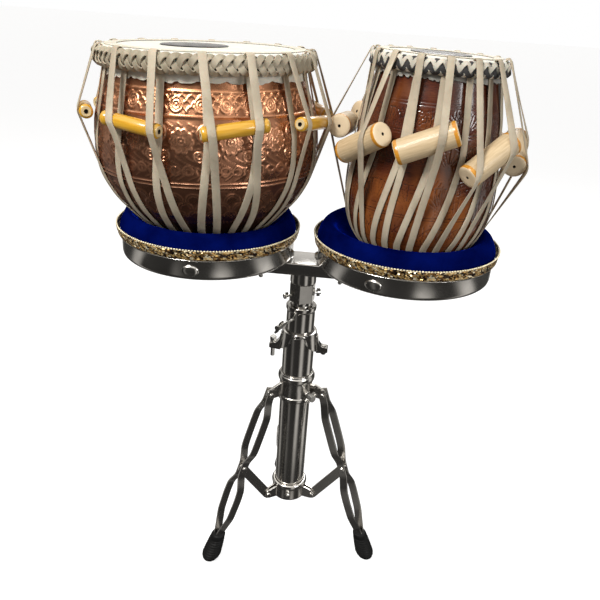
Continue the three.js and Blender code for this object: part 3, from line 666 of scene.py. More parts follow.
def pin(build, radius, half, r, z, head=False):
    profile = [(0, -half), (radius, -half), (radius, half), (0, half)]
    if head:
        profile = [(0, -half), (3.2, -half), (4.3, 1 - half), (4.4, 2 - half), (radius, 2 - half),
                   (radius, half - 2), (4.4, half - 2), (4.3, half - 1), (3.2, half), (0, half)]
    lathe(build, profile, 24)
    return moved(build, shift(r, 0, z) @ turn("X", 90))


def build_collars():
    ring = [(22.8, 259), (25.8, 259), (26.2, 262), (25.8, 265), (24.4, 266.4), (24.2, 278), (24.4, 289.6),
            (26.4, 291), (26.9, 294.5), (26.4, 298), (24.8, 300), (24.4, 302), (22.8, 302)]
    upper = lathe(Build(), rounded(ring, 0.8, True), 96, closed=True)
    lug = rounded([(24, 266), (42, 266), (50, 269), (52, 274), (49, 280), (37, 285), (24, 290)], 2.5, True)
    for azimuth in LEGS.values():
        moved(prism(upper, lug, 4), spin(azimuth))
        moved(pin(upper, 2.6, 7.2, 45, 274, True), spin(azimuth))
    boss = lathe(upper, rounded([(0, 0), (6.5, 0), (6.5, 7), (3.5, 7), (3.5, 4), (0, 4)], 0.5), 32)
    moved(boss, spin(42) @ shift(23.6, 0, 274) @ turn("Y", 90))
    stand_part("upper_collar", upper, "upper_collar", 0.5)
    ring = [(22.6, 79), (25.4, 79), (25.8, 81), (25.6, 98), (27, 100.6), (27.3, 103), (26.6, 105.4),
            (25, 107), (22.6, 107)]
    lower = lathe(Build(), rounded(ring, 0.8, True), 96, closed=True)
    ear = rounded([(24, 80), (39, 82), (46, 85), (47.4, 90), (42.5, 96.4), (24, 100)], 2.5, True)
    for azimuth in LEGS.values():
        for side in (-1, 1):
            moved(prism(lower, ear, 2.4), spin(azimuth) @ shift(0, side * 3.2, 0))
        moved(pin(lower, 2.6, 6.4, 41, 89, True), spin(azimuth))
    stand_part("lower_collar", lower, "base", 0.4)


def build_clamp():
    """A flared collar whose lower edge is arched at the front and back, with an ear on each side."""
    clamp = Build()
    segments = 120
    angles = np.arange(segments) * 2 * math.pi / segments
    rows = []
    for a in angles:
        side = abs(math.cos(a))
        edge = 366 - 27 * max(0.0, (side - 0.35) / 0.65) ** 0.6
        outer = [(22.7, edge), (22.9 + 5.4 * side, edge), (23.6 + 4.2 * side, edge + 1.6)]
        for t in (0.35, 0.7, 1.0):
            z = edge + 1.6 + (368 - edge - 1.6) * t
            outer.append((24.7 + (3.0 * side) * (1 - t), z))
        outer += [(24.2, 369.6), (23, 370), (20.6, 370), (20.6, 364.5), (22.7, 364.5)]
        rows.append([(r * math.cos(a), r * math.sin(a), z) for r, z in outer])
    clamp.add(np.array(rows).reshape(-1, 3), grid(segments, len(rows[0]), True))
    ear = [(25.5, 336), (42, 338), (42, 345), (32, 346.5), (28, 352), (26.5, 362), (25, 362)]
    for side in (0, 180):
        moved(prism(clamp, rounded(ear, 1.5, True), 12), turn("Z", side))
    moved(lathe(clamp, [(0, 333), (3.6, 333), (3.6, 347), (0, 347)], 6), shift(36, 0, 0))
    stand_part("height_clamp", clamp, "base", 0.5)


def build_leg(side, azimuth):
    leg = Build()
    place = spin(azimuth) @ shift(45, 0, 274) @ turn("Y", -LEG_LEAN)
    line = [(3.75, 9), (3.75, -12), (12.6, -33), (13, -50), (13, -80), (12.2, -94), (3.75, -112),
            (3.75, -136), (14, -155), (15, -172), (13.6, -203), (3.75, -234), (3.75, -272)]
    half_width, thickness = 6.0, 2.5
    y, z = evenly(rounded(line, 5, steps=5), 90).T
    along_y, along_z = unit(np.gradient(np.stack([y, z], axis=1), axis=0)).T
    edge = np.array([half_width, 0, 0])
    for sign in (1, -1):
        normal = np.stack([0 * y, sign * -along_z, along_y], axis=1)
        centre = np.stack([0 * y, sign * (y - thickness / 2), z], axis=1)
        moved(ribbon(leg, centre - edge, centre + edge, normal, thickness, section=FLAT), place)
    moved(prism(leg, [(-5, -269), (5, -269), (5, -247), (-5, -247)], 5.6), place)
    for z, half in ((-124, 6.7), (-252, 6.2)):
        moved(pin(leg, 2.6, half, 0, z, True), place)
    stand_part(f"leg_{side}", leg, f"leg_{side}", sharp=28)
    foot = Build()
    profile = [(0, 0), (8.4, 0), (9.6, 0.5)]
    for i in range(9):
        z = 1.6 + 3.7 * i
        r = np.interp(z, [1, 3, 9, 19, 30, 43], [10.6, 12.6, 14, 13.1, 11.8, 9.9])
        profile += [(r - 1.1, z), (r, z + 0.8), (r, z + 2.4), (r - 1.1, z + 3.1)]
    profile += [(11, 36.4), (10.4, 41), (9.6, 42.6), (8, 43), (0, 43)]
    lathe(foot, profile, 64)
    shear = Matrix.Identity(4)
    shear[0][2] = -math.tan(math.radians(LEG_LEAN))
    moved(foot, spin(azimuth) @ shift(140.2, 0, 8) @ shear)
    stand_part(f"foot_{side}", foot, f"leg_{side}", sharp=60, materials=[RUBBER])


def build_crossbar():
    bar = Build()
    outer = rounded([(-25, 460), (25, 460), (25, 477.2), (-25, 477.2)], 2.2, True)
    inner = rounded([(-22.5, 462.5), (22.5, 462.5), (22.5, 474.7), (-22.5, 474.7)], 1.0, True)
    rings = ((-105, outer), (105, outer), (105, inner), (-105, inner))
    bar.add([(x, y, z) for x, ring in rings for y, z in ring], grid(4, len(outer), True))
    hub = [(0, 418), (8.4, 418), (9, 418.6), (9, 442.5), (17, 442.5), (17.8, 443.2), (18, 447), (17.6, 452),
           (17.6, 461), (0, 461)]
    lathe(bar, hub, 72)
    stand_part("crossbar", bar, "crossbar", 0.4)


def build_tray(side, sign):
    tray = Build()
    r, bottom, top = 113.6, 477.5, 505.3
    lower = [(-r, 0), (-6, 0), (-2.6, 0.9), (-0.7, 2.8), (0, 6)]
    rim = [(0, -3.2), (0.5, -2.4), (1.6, -2.1), (2.7, -1.7), (3, -1), (2.6, -0.3), (1.6, 0), (-1, 0),
           (-1.4, -0.6)]
    inside = [(-1.4, 5), (-3, 2.4), (-r, 2)]
    parts = ((lower, bottom), (rim, top), (inside, bottom))
    lathe(tray, [(r + x, level + z) for line, level in parts for x, z in line], 160)
    stud = [(0, -4.5), (1.8, -4.5), (2.8, -3.4), (2.6, -1.6), (2.0, 0.4), (0, 0.4)]
    for angle in (-41, 79, 199):
        lathe(tray, stud, 24)
        moved(tray, turn("Z", angle if sign < 0 else 180 - angle) @ shift(r - 7, 0, bottom))
    boss = [(0, 2.6), (3, 2.5), (6.4, 2.0), (8.4, 1.1), (9.4, 0.2), (9.6, -1), (0, -1)]
    lathe(tray, boss, 40)
    azimuth = 0.5 if sign < 0 else -21.3
    flat = turn("Y", 90) @ Matrix.Diagonal((0.8, 1.15, 1, 1))
    moved(tray, spin(azimuth) @ shift(r - 0.2, 0, bottom + 12.5) @ flat)
    place = STAND @ shift(sign * 130 * MM, 0, 0)
    stand_part(f"tray_{side}", tray, "crossbar", sharp=50, matrix=place)
    return place


# ---- cushions and trims --------------------------------------------------------------------------
SWELL_LIMIT = 1.6 * MM
DENT = 0.35 * MM
CLOTH_FRAMES = 12
BEADS = 210
SEATS = {
    "left": [(106.5, 535.2), (102, 534.8), (97.5, 531), (85, 518), (71, 503), (60, 491)],
    "right": [(103, 535.2), (98, 534.6), (92.5, 530), (84, 518), (71, 503), (60, 491)],
}


def build_cushion(side, place):
    """A stuffed ring: a closed form that swells a little under cloth simulation."""
    profile = [(57.5, 480.2), (70, 480), (90, 480), (108, 480.2), (110.8, 483), (111, 495), (111.4, 505.4),
               (113.4, 507.4), (115, 510.4), (115.4, 515), (114, 520), (111.4, 526.5), (108.8, 531.5),
               *SEATS[side], (57.6, 486)]
    dense = rounded(profile, 4, True)
    ring = lathe(Build(), evenly(np.vstack([dense, dense[:1]]), 71)[:-1], 144, closed=True)
    obj = make(f"cushion_{side}_look", ring, place, [VELVET], sharp=70)
    soften(obj, place, 3 if side == "left" else 5)
    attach(obj, f"cushion_{side}")
    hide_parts(f"cushion_{side}")


def positions(mesh):
    found = np.zeros(len(mesh.vertices) * 3)
    mesh.vertices.foreach_get("co", found)
    return found.reshape(-1, 3)


def soften(obj, place, seed):
    """Lets the free top and side of a cushion swell as cloth under pressure, then dents them."""
    mesh = obj.data
    start = positions(mesh)
    local = (start - np.array(place.translation)) / MM
    radius = np.hypot(local[:, 0], local[:, 1])
    free = np.clip((local[:, 2] - 507) / 9, 0, 1) * np.clip((radius - 99) / 6, 0, 1)
    held = obj.vertex_groups.new(name="held")
    for i, share in enumerate(free):
        held.add([i], float(1 - share), "REPLACE")
    cloth = obj.modifiers.new("cloth", "CLOTH")
    settings = {"vertex_group_mass": "held", "pin_stiffness": 40, "use_pressure": True,
                "uniform_pressure_force": 4, "quality": 4}
    for key, value in settings.items():
        setattr(cloth.settings, key, value)
    cloth.settings.effector_weights.gravity = 0
    cloth.collision_settings.use_collision = False
    scene = bpy.context.scene
    for step in range(CLOTH_FRAMES):
        scene.frame_set(step + 1)
    bpy.context.view_layer.update()
    swollen = positions(obj.evaluated_get(bpy.context.evaluated_depsgraph_get()).to_mesh())
    obj.modifiers.remove(cloth)
    scene.frame_set(1)
    swell = swollen - start
    size = np.linalg.norm(swell, axis=1)
    swell *= (np.minimum(size, SWELL_LIMIT) / np.maximum(size, 1e-9))[:, None]
    start += swell * free[:, None]
    obj.vertex_groups.remove(held)
    angle = np.arctan2(local[:, 1], local[:, 0])
    rng = np.random.default_rng(seed)
    dimple = random_waves(rng, angle, range(3, 15), lambda k: 1 / k)
    outward = np.stack([np.cos(angle), np.sin(angle), np.full_like(angle, 0.3)], axis=1)
    start += outward * (DENT * dimple * free)[:, None]
    mesh.vertices.foreach_set("co", start.ravel())
    mesh.update()


def build_trim(side, place):
    trim = Build()
    rng = np.random.default_rng(11)
    ripple = rng.uniform(0, 6.28, 6)

    def wave(a, r, z):
        return 0.25 * sum(math.sin((9 + 5 * k) * a + ripple[k]) / (k + 1) for k in range(6)) * (r > 119)

    band = [(116.4, 505.8), (117.6, 505.5), (118.6, 507.4), (118.7, 509.4), (119.5, 511.6), (119.4, 513.6),
            (120.3, 515.8), (120, 517.6), (118.9, 517.7), (117.2, 511)]
    lathe(trim, rounded(band, 0.5, True), 300, closed=True, wobble=wave)
    lie = shift(119.5, 0, 518.2) @ turn("X", 90) @ Matrix.Diagonal((0.85, 0.7, 1.1, 1))
    for i in range(BEADS):
        lathe(trim, [(0, -1.5), (1.15, -0.9), (1.5, 0), (1.15, 0.9), (0, 1.5)], 8, 1)
        moved(trim, turn("Z", 360 * i / BEADS) @ lie)
    stand_part(f"trim_{side}", trim, f"cushion_{side}", 0, 60, place, [BROCADE, BEAD])


# ---- drums ---------------------------------------------------------------------------------------
# In mm and degrees. outline: radius and height of the shell, from its mouth down; head: its height; kinar:
# its width; kundal: its radius; azimuth: that of the first strap; gajra: inner and outer radius, bottom and
# top; syahi: radius and place; drift and inner: how far the top and bottom of a strap stand aside, outside
# and inside; dowel: radius, length and angle from a strap; settings: height, tilt and angle aside of each
# dowel; aside: that of each strap; braid: strands, turns, rise, width and thickness.
BAYAN = {
    "name": "bayan", "frame": drum_frame(-129.3, 497, -1.2), "floor": 10.5, "wall": 1.8,
    "outline": [(117.5, 234.5), (118.2, 222), (118.5, 209), (123.5, 190), (130, 172), (134.4, 155),
                (136.2, 139), (136.8, 125), (136, 111), (132.5, 95), (126, 80), (116.5, 64), (104, 49),
                (89, 33.6), (73, 21), (50, 8), (22, 1), (0, 0)],
    "head": 237, "gajra": (123.6, 130, 216, 236.5), "kinar": 14, "syahi": (41, -17, 7), "kundal": 47,
    "strap": 9, "azimuth": 12.5, "drift": (-2.5, 5.3), "inner": (-1.2, -5.9), "dowel": (8, 75, 11.25),
    "settings": [(164, 7, 0), (163, -5, 0), (163, 3, 0), (164, -4, 0), (162, 5, 0), (163, -3, 0),
                 (165, 4, 0), (164, -5.5, 0)],
    "aside": [2, -2.3, 1.5, -1.5, 2, -2, 1.5, -1.5, 2, -2, 1.5, -2, 2, -1.5, 4.5, 0.8],
    "braid": (3, 24, 7.6, 7.0, 1.7), "strands": [PLAIT],
}
DAYAN = {
    "name": "dayan", "frame": drum_frame(135.9, 495, 1.2), "floor": 16, "wall": 13,
    "outline": [(70.5, 247.5), (71.2, 236), (72.5, 225), (76.6, 208), (81, 191), (85, 165), (88, 138),
                (90.4, 116), (91.5, 96), (91.6, 82), (90, 68), (87, 54.5), (82.5, 42), (75.6, 29), (66, 18),
                (45, 5), (24, 0.5), (0, 0)],
    "head": 250, "gajra": (76, 79.5, 231, 249.5), "kinar": 11, "syahi": (36, 0, 0), "kundal": 42,
    "strap": 8, "azimuth": -1, "drift": (2.0, -5.0), "inner": (0.0, -16.2), "dowel": (14, 70, -8),
    "settings": [(164, 25, 2.5), (150, 32, 0), (150, 20, 0), (152, 14, 0), (158, 10, 0), (160, 12, 0),
                 (157, 4, 0.5), (151, 28, 5)],
    "aside": [1.5, 2, 0, 0, 1, -1, 1, 0, -1, 1, 0, 1, -1, 0, 3, 4],
    "braid": (4, 20, 5.8, 5.0, 1.4), "strands": [WHITE_PLAIT, BLACK_PLAIT],
}


def outline_radius(drum, z):
    line = np.array(drum["outline"])[::-1]
    return np.interp(z, line[:, 1], line[:, 0])


def drum_slot(drum, bayan, dayan):
    """What holds for this drum, of the two."""
    return bayan if drum["name"] == "bayan" else dayan


def ridge(distance, width):
    return np.exp(-((distance / width) ** 2))


def repeat(s, pitch, start=0.0):
    return (s - start + pitch / 2) % pitch - pitch / 2


def polar(x, y):
    return np.hypot(x, y), np.arctan2(y, x)


def embossed(s, z):
    """The height of the beaten ornament on the copper, from 0 to 1, at s round the bowl and z up it."""
    marks = [ridge(z - line, 0.9) for line in (198.5, 173.5, 104, 99.5)]
    for row in range(4):
        centre = 178.5 + 5.5 * row
        d = np.hypot(repeat(s, 11, 5.5 * (row % 2)), z - centre)
        marks.append(0.75 * ridge(d - 5.2, 0.75) * (z > centre - 1) * (z < 198) * (z > 175))
    h = np.max(marks, axis=0)
    d = np.hypot(repeat(s, 27.9, 7), z - 185.5)
    h = np.where(d < 8, 0.1, h)
    rosette = [ridge(d - 7, 0.8) * (d < 8.5), ridge(d - 4, 0.7) * (d < 8.5), 0.9 * ridge(d, 1.4)]
    d, angle = polar(repeat(s, 52.3, 0), z - 149)
    petal = 10.2 + 2.6 * np.abs(np.cos(5 * angle))
    spokes = ridge(np.abs(np.cos(5 * angle)) * d / 5, 0.24) * (d > 3.2) * (d < 10.8)
    flower = [
        ridge(d - petal, 0.8) * (d < 15), 0.85 * spokes, ridge(d, 1.8), ridge(d - 4, 0.6),
        0.35 * (d < petal) * (0.5 + 0.5 * np.abs(np.cos(5 * angle))),
    ]
    gap = repeat(s, 52.3, 26.15)
    scrolls = []
    for sign in (-1, 1):
        x, y = repeat(s, 52.3, 26.15 + sign * 7.6), z - 134
        d, angle = np.hypot(x, y), np.arctan2(y, sign * x)
        coil = 6.4 - 1.1 * (angle + math.pi) / math.pi
        stem = ridge(gap - sign * (1.2 + 0.012 * (z - 134) ** 2), 0.8) * (z > 107) * (z < 134)
        scrolls += [ridge(d - coil, 0.9) * (d < 8), ridge(d - 2.6, 0.8) * (d < 8), stem]
    d, angle = polar(gap, z - 157)
    wheel = [ridge(d - 9, 0.8) * (d < 10.5), ridge(d - 5.6, 0.6) * (d < 10.5)]
    wheel.append(0.7 * ridge(np.abs(np.sin(4 * angle)) * d / 4, 0.22) * (d < 9) * (d > 2.4))
    near = np.abs(gap) > 9
    vine = [0.8 * ridge(z - 118 - 5.5 * np.sin(2 * math.pi * s / 26.15), 0.9) * near]
    for start, drop in ((6.5, 1), (19.57, -1)):
        d = np.hypot(repeat(s, 26.15, start) * 0.7, z - 118 + drop)
        vine.append(0.7 * ridge(d - 3.4, 0.8) * near)
    h = np.max([h, *rosette, *flower, *scrolls, *wheel, *vine], axis=0)
    warp = s + 9 * np.sin(z / 6.5) + 4 * np.sin(s / 8.3)
    curl = ridge(np.sin(warp / 5.2 + 1.7 * np.sin(z / 5.1)), 0.22) * (z > 108) * (z < 168) * (h < 0.12)
    far = (np.hypot(repeat(s, 52.3, 0), z - 149) > 15.5) & (np.hypot(gap, z - 157) > 11)
    marks = [h, 0.6 * curl * far, 0.8 * ridge(np.hypot(repeat(s, 5.2), z - 51.5), 1.6)]
    for row in range(3):
        centre = 60 + 11 * row
        d = np.hypot(repeat(s, 22, 11 * (row % 2)), z - centre)
        marks.append(0.8 * np.maximum(ridge(d - 9.6, 0.8), ridge(d - 6.8, 0.6)) * (z > centre) * (z < 97))
    return np.max(marks, axis=0)


def carved(s, z):
    """How much of the lacquered wood is left at s round the shell and z up it: 0 in a cut line."""
    cuts = [0.8 * ridge(z - line, 0.45) for line in (203, 200, 172, 169, 125, 122, 78, 75, 40)]
    bands = ((185, 33, 12), (147, 36, 16), (101, 38, 17), (57, 34, 12))
    for row, (centre, pitch, size) in enumerate(bands):
        y = z - centre
        x = repeat(s, pitch, row * 11)
        d, angle = np.hypot(x, y + size * 0.75), np.arctan2(x, y + size * 0.75)
        fan = ridge(np.sin(9 * angle) * d / 9, 0.32) * (d > size * 0.35) * (d < size * 1.45)
        cuts += [fan * (np.abs(angle) < 1.15), ridge(d - size * 1.5, 0.4) * (np.abs(angle) < 1.25)]
        x = np.abs(repeat(s, pitch, row * 11 + pitch / 2))
        leaf = ridge(x - 3.2 * np.cos(np.clip(y / size, -1.57, 1.57)), 0.4)
        vein = ridge(np.sin(y * 1.3 + x * 0.8), 0.3) * (x < 3)
        cuts += [leaf * (np.abs(y) < size * 0.9), 0.7 * vein * (np.abs(y) < size * 0.7)]
    field = np.sin(s / 12 + 1.3 * np.sin(z / 17)) * np.sin(z / 11 + 0.8)
    combed = ridge(np.sin(0.62 * s + 2.6 * np.sin(z / 7.5)), 0.24) * (field > 0.3)
    waved = ridge(np.sin(0.85 * z + 2.4 * np.sin(s / 7)), 0.26) * (field < -0.25)
    cuts.append(0.85 * np.maximum(combed, waved) * (z > 42) * (z < 199))
    return 1 - np.clip(np.max(cuts, axis=0), 0, 1)


def build_shell(drum, material, pattern, radius, depth, columns, rows):
    """The outside with its ornament in the surface, closed by the plain hollow inside it.

    radius is that of the ornament's layout; depth is how far the surface moves out at 0, and more at 1.
    """
    line = flowing([p for p in drum["outline"] if p[0] > 40][::-1], rows)
    angles = np.arange(columns) * 2 * math.pi / columns
    along = unit(np.gradient(line, axis=0))
    s = np.outer(np.ones(rows), angles * radius)
    height = pattern(s, np.outer(line[:, 1], np.ones(columns)))
    offset = depth[0] + depth[1] * height
    r, z = line[:, :1] + along[:, 1:] * offset, line[:, 1:] - along[:, :1] * offset
    outside = ring_points(angles, r, z)
    inside = [ring_points(angles, r - drum["wall"], z) for r, z in drum["outline"][:-3]]
    total = (rows + len(inside)) * columns
    last = total - columns
    faces = grid(rows + len(inside), columns)
    faces += [(last + i, last + (i + 1) % columns, total) for i in range(columns)]
    faces += [((i + 1) % columns, i, total + 1) for i in range(columns)]
    verts = np.concatenate([outside.reshape(-1, 3), *inside, [(0, 0, drum["floor"]), (0, 0, 0.3)]])
    uv = np.zeros((len(verts), 2))
    uv[:s.size] = np.stack([s.ravel() * MM, np.repeat(np.arange(rows) * 0.0012, columns)], axis=1)
    relief = np.full(len(verts), 0.6)
    relief[:s.size] = height.ravel()
    shell = Build()
    shell.add(verts, faces, 0, uv, relief)
    drum_part(drum, "shell", shell, [material])


def build_head(drum):
    top, rim = drum["head"], drum["outline"][0][0]
    inner, outer, bottom, gajra_top = drum["gajra"]
    skin = Build()
    lip = min(inner + 2.2, outer - 1.5)
    profile = [
        (0, top - 0.5), (rim * 0.5, top - 0.45), (rim - 4, top - 0.2), (rim + 0.6, top - 0.1),
        (inner - 2.2, top - 0.5), (inner - 0.4, top - 1.3), (lip, gajra_top - 3.2),
        (lip + 0.2, gajra_top - 5), (inner - 0.3, gajra_top - 7), (inner - 0.8, bottom + 4),
        (rim + 1.4, bottom + 4), (rim + 1.4, top - 1.9), (0, top - 1.9),
    ]
    rng = np.random.default_rng(5)
    phases = rng.uniform(0, 6.28, 14)

    def pleat(a, r, z):
        reach = 0.28 if r > inner - 1 else 0.0
        return reach * sum(math.sin((11 + 6 * k) * a + phases[k]) / (1 + 0.2 * k) for k in range(6)) / 2.5

    lathe(skin, rounded(profile, 1.2), 240, wobble=pleat)
    drum_part(drum, "head", skin, [SKIN], 70)
    ring = Build()
    width = drum["kinar"]
    edge = [(rim + x, top + z) for x, z in (
        (0.8 - width, 0.25), (0.9, 0.25), (1, 0.9), (-1, 1.2), (2.6 - width, 1.15), (1 - width, 0.9))]

    def uneven(a, r, z):
        return (0.5 * math.sin(5 * a) + 0.3 * math.sin(13 * a + 1)) * (r < rim - 4)

    lathe(ring, rounded(edge, 0.4, True), 200, closed=True, wobble=uneven)
    drum_part(drum, "kinar", ring, [RIM_SKIN])
    radius, x, y = drum["syahi"]
    patch = Build()
    edge = [(0, 0.25), (radius - 0.6, 0.25), (radius, 0.45), (radius - 1.2, 0.75), (radius - 3.5, 0.95),
            (radius * 0.55, 1.3), (radius * 0.5, 1.45), (0, 1.55)]
    moved(lathe(patch, edge, 120), shift(x, y, top))
    drum_part(drum, "syahi", patch, [SYAHI])


def build_gajra(drum):
    """A plaited hoop: flat strands that pass over and under each other round a dark core, painted shade
    between them.
    """
    inner, outer, bottom, top = drum["gajra"]
    count, periods, rise, width, thickness = drum["braid"]
    middle = (bottom + top) / 2 - 0.5
    centre = (inner + outer) / 2 + 0.2
    half = (outer - inner) / 2
    hoop = lathe(Build(), circle(centre, middle, half * 0.62, rise + 0.6, 20), 160, closed=True)
    a = np.linspace(0, 2 * math.pi, periods * 40, endpoint=False)
    single = len(drum["strands"]) == 1
    for strand in range(count):
        t = a * periods + 2 * math.pi * strand / count
        kind = 0 if single else strand % 2
        bulge = np.sqrt(np.clip(1 - (0.8 * np.sin(t)) ** 2, 0, 1))
        weave = 1.5 * np.sin(2 * t) if single else (1 - 2 * kind) * 0.9 * np.sin(t + 0.3)
        line = ring_points(a, centre + half * 0.5 * bulge + weave + 0.25, middle + rise * np.sin(t))
        along = unit(np.roll(line, -1, axis=0) - np.roll(line, 1, axis=0))
        lean = 0.75 * np.sin(t)
        across = unit(np.cross(ring_points(a, np.cos(lean), np.sin(lean)), along))
        side, normal = across * width / 2, np.cross(along, across)
        ribbon(hoop, line - side, line + side, normal, thickness, 1 + kind, True, FLAT)
    drum_part(drum, "gajra", hoop, [SHADED_CORE, *drum["strands"]], 28)


def build_skirt(drum):
    """The ragged lower edge of the skin, which shows below the hoop."""
    name, bottom = drum["name"], drum["gajra"][2]
    depth = drum_slot(drum, 9.5, 5.5)
    columns, rows = 360, 9
    rng = np.random.default_rng(21)
    a = np.arange(columns) * 2 * math.pi / columns
    ragged = random_waves(rng, a, range(2, 60), lambda k: 1 / (1 + 0.12 * k))
    ragged = ragged / np.abs(ragged).max()
    notch = random_waves(rng, a, range(20, 70), lambda k: 1 / 8)
    edge = bottom - depth + 2.0 * ragged + 2.2 * np.clip(notch, 0, 1)
    ups = np.linspace(0, 1, rows)[:, None]
    z = edge + (bottom + 5 - edge) * ups
    wave = random_waves(rng, a, range(6, 42, 6), lambda k: 6 / k)
    r = outline_radius(drum, z) + 2.1 + (0.55 * wave + 0.4) * (1 - ups)
    layers = np.concatenate([ring_points(a, r, z), ring_points(a, r - 0.9, z)[::-1]])
    skirt = Build()
    skirt.add(layers.reshape(-1, 3), grid(2 * rows, columns, True))
    skin = drum_slot(drum, RAGGED_SKIN, GREY_SKIN)
    make(f"{name}_skirt", skirt, drum["frame"], [skin], name, (), 0, 70)


# ---- straps and dowels ---------------------------------------------------------------------------
def taut(points):
    """The outer side of the hull of radius-height points, from the highest to the lowest."""
    line = []
    for p in sorted((tuple(p) for p in points), key=lambda p: -p[1]):
        while len(line) > 1:
            (r0, z0), (r1, z1) = line[-2], line[-1]
            if (r1 - r0) * (p[1] - z1) - (z1 - z0) * (p[0] - r1) < 0:
                break
            line.pop()
        line.append(p)
    return np.array(line)


def between(azimuth, other):
    """How many degrees the first azimuth is past the other, from -180 to 180."""
    return (azimuth - other + 180) % 360 - 180


DOWEL_GAP = 2.8
STRAP_THICKNESS = 1.3


def dowel_places(drum):
    radius, _, offset = drum["dowel"]
    places = []
    for i, (height, tilt, aside) in enumerate(drum["settings"]):
        shell = max(outline_radius(drum, height + rise) for rise in (-radius, 0, radius))
        places.append({
            "azimuth": drum["azimuth"] + offset + aside + 45 * i, "distance": shell + DOWEL_GAP + radius,
            "height": height, "tilt": math.radians(tilt),
        })
    return places


def over_dowel(drum, place, azimuth):
    """The section of a tilted dowel in the upright plane at an azimuth, as radius-height points."""
    radius = drum["dowel"][0] + 0.4
    delta = math.radians(between(azimuth, place["azimuth"]))
    phi = np.radians(np.linspace(-85, 85, 24))
    r = (place["distance"] + radius * np.cos(phi)) / math.cos(delta)
    rise = r * math.sin(delta) * math.sin(place["tilt"])
    z = place["height"] + (radius * np.sin(phi) + rise) / math.cos(place["tilt"])
    return np.stack([r, z], axis=1)


def shell_points(drum):
    """The line of a strap that lies on the shell, from the hoop down to the ring under the drum."""
    line = flowing([p for p in drum["outline"] if p[0] > drum["kundal"] + 4][::-1], 60)
    along = unit(np.gradient(line, axis=0))
    line = line + np.stack([along[:, 1], -along[:, 0]], axis=1) * 0.9
    foot = [(drum["kundal"] + 4.6, -4.0), (drum["kundal"] + 3.6, -6.4)]
    return np.vstack([line[line[:, 1] < drum["gajra"][2] - 6], foot])


def run_edge(azimuths, line):
    """A radius-height line laid round the drum at its points' azimuths, with its normals."""
    a = np.radians(azimuths - 90)
    along = np.gradient(line, axis=0)
    along /= np.maximum(np.linalg.norm(along, axis=1), 1e-9)[:, None]
    return ring_points(a, line[:, 0], line[:, 1]), ring_points(a, -along[:, 1], along[:, 0])


def lay_run(build, drum, azimuth, line_at, drift, middle=None, upper=True):
    """One strap from top to bottom, or the part of it over or under the height in middle.

    line_at gives the radius-height line at an azimuth; drift is how far its top and bottom stand aside.
    """
    half, level = drum["strap"] / 2, 150.0
    edges = []
    for side in (-1, 1):
        line = evenly(line_at(azimuth + side * math.degrees(half / outline_radius(drum, level) * 0.9)), 110)
        r, z = line.T
        up = np.clip((z - level) / (drum["head"] - level), 0, 1)
        down = np.clip((level - z) / 112, 0, 1) ** 1.15
        reach = np.degrees(np.arcsin(np.clip(half / np.maximum(r, 20), 0, 0.9)))
        edges.append(run_edge(azimuth + drift[0] * up + drift[1] * down + side * reach, line))
    (left, normal_left), (right, normal_right) = edges
    normal = unit(normal_left + normal_right)
    if middle is not None:
        here = int(np.argmax((left[:, 2] + right[:, 2]) / 2 < middle))
        keep = slice(0, here + 1) if upper else slice(here, None)
        left, right, normal = left[keep], right[keep], normal[keep]
    ribbon(build, left, right, normal, STRAP_THICKNESS)


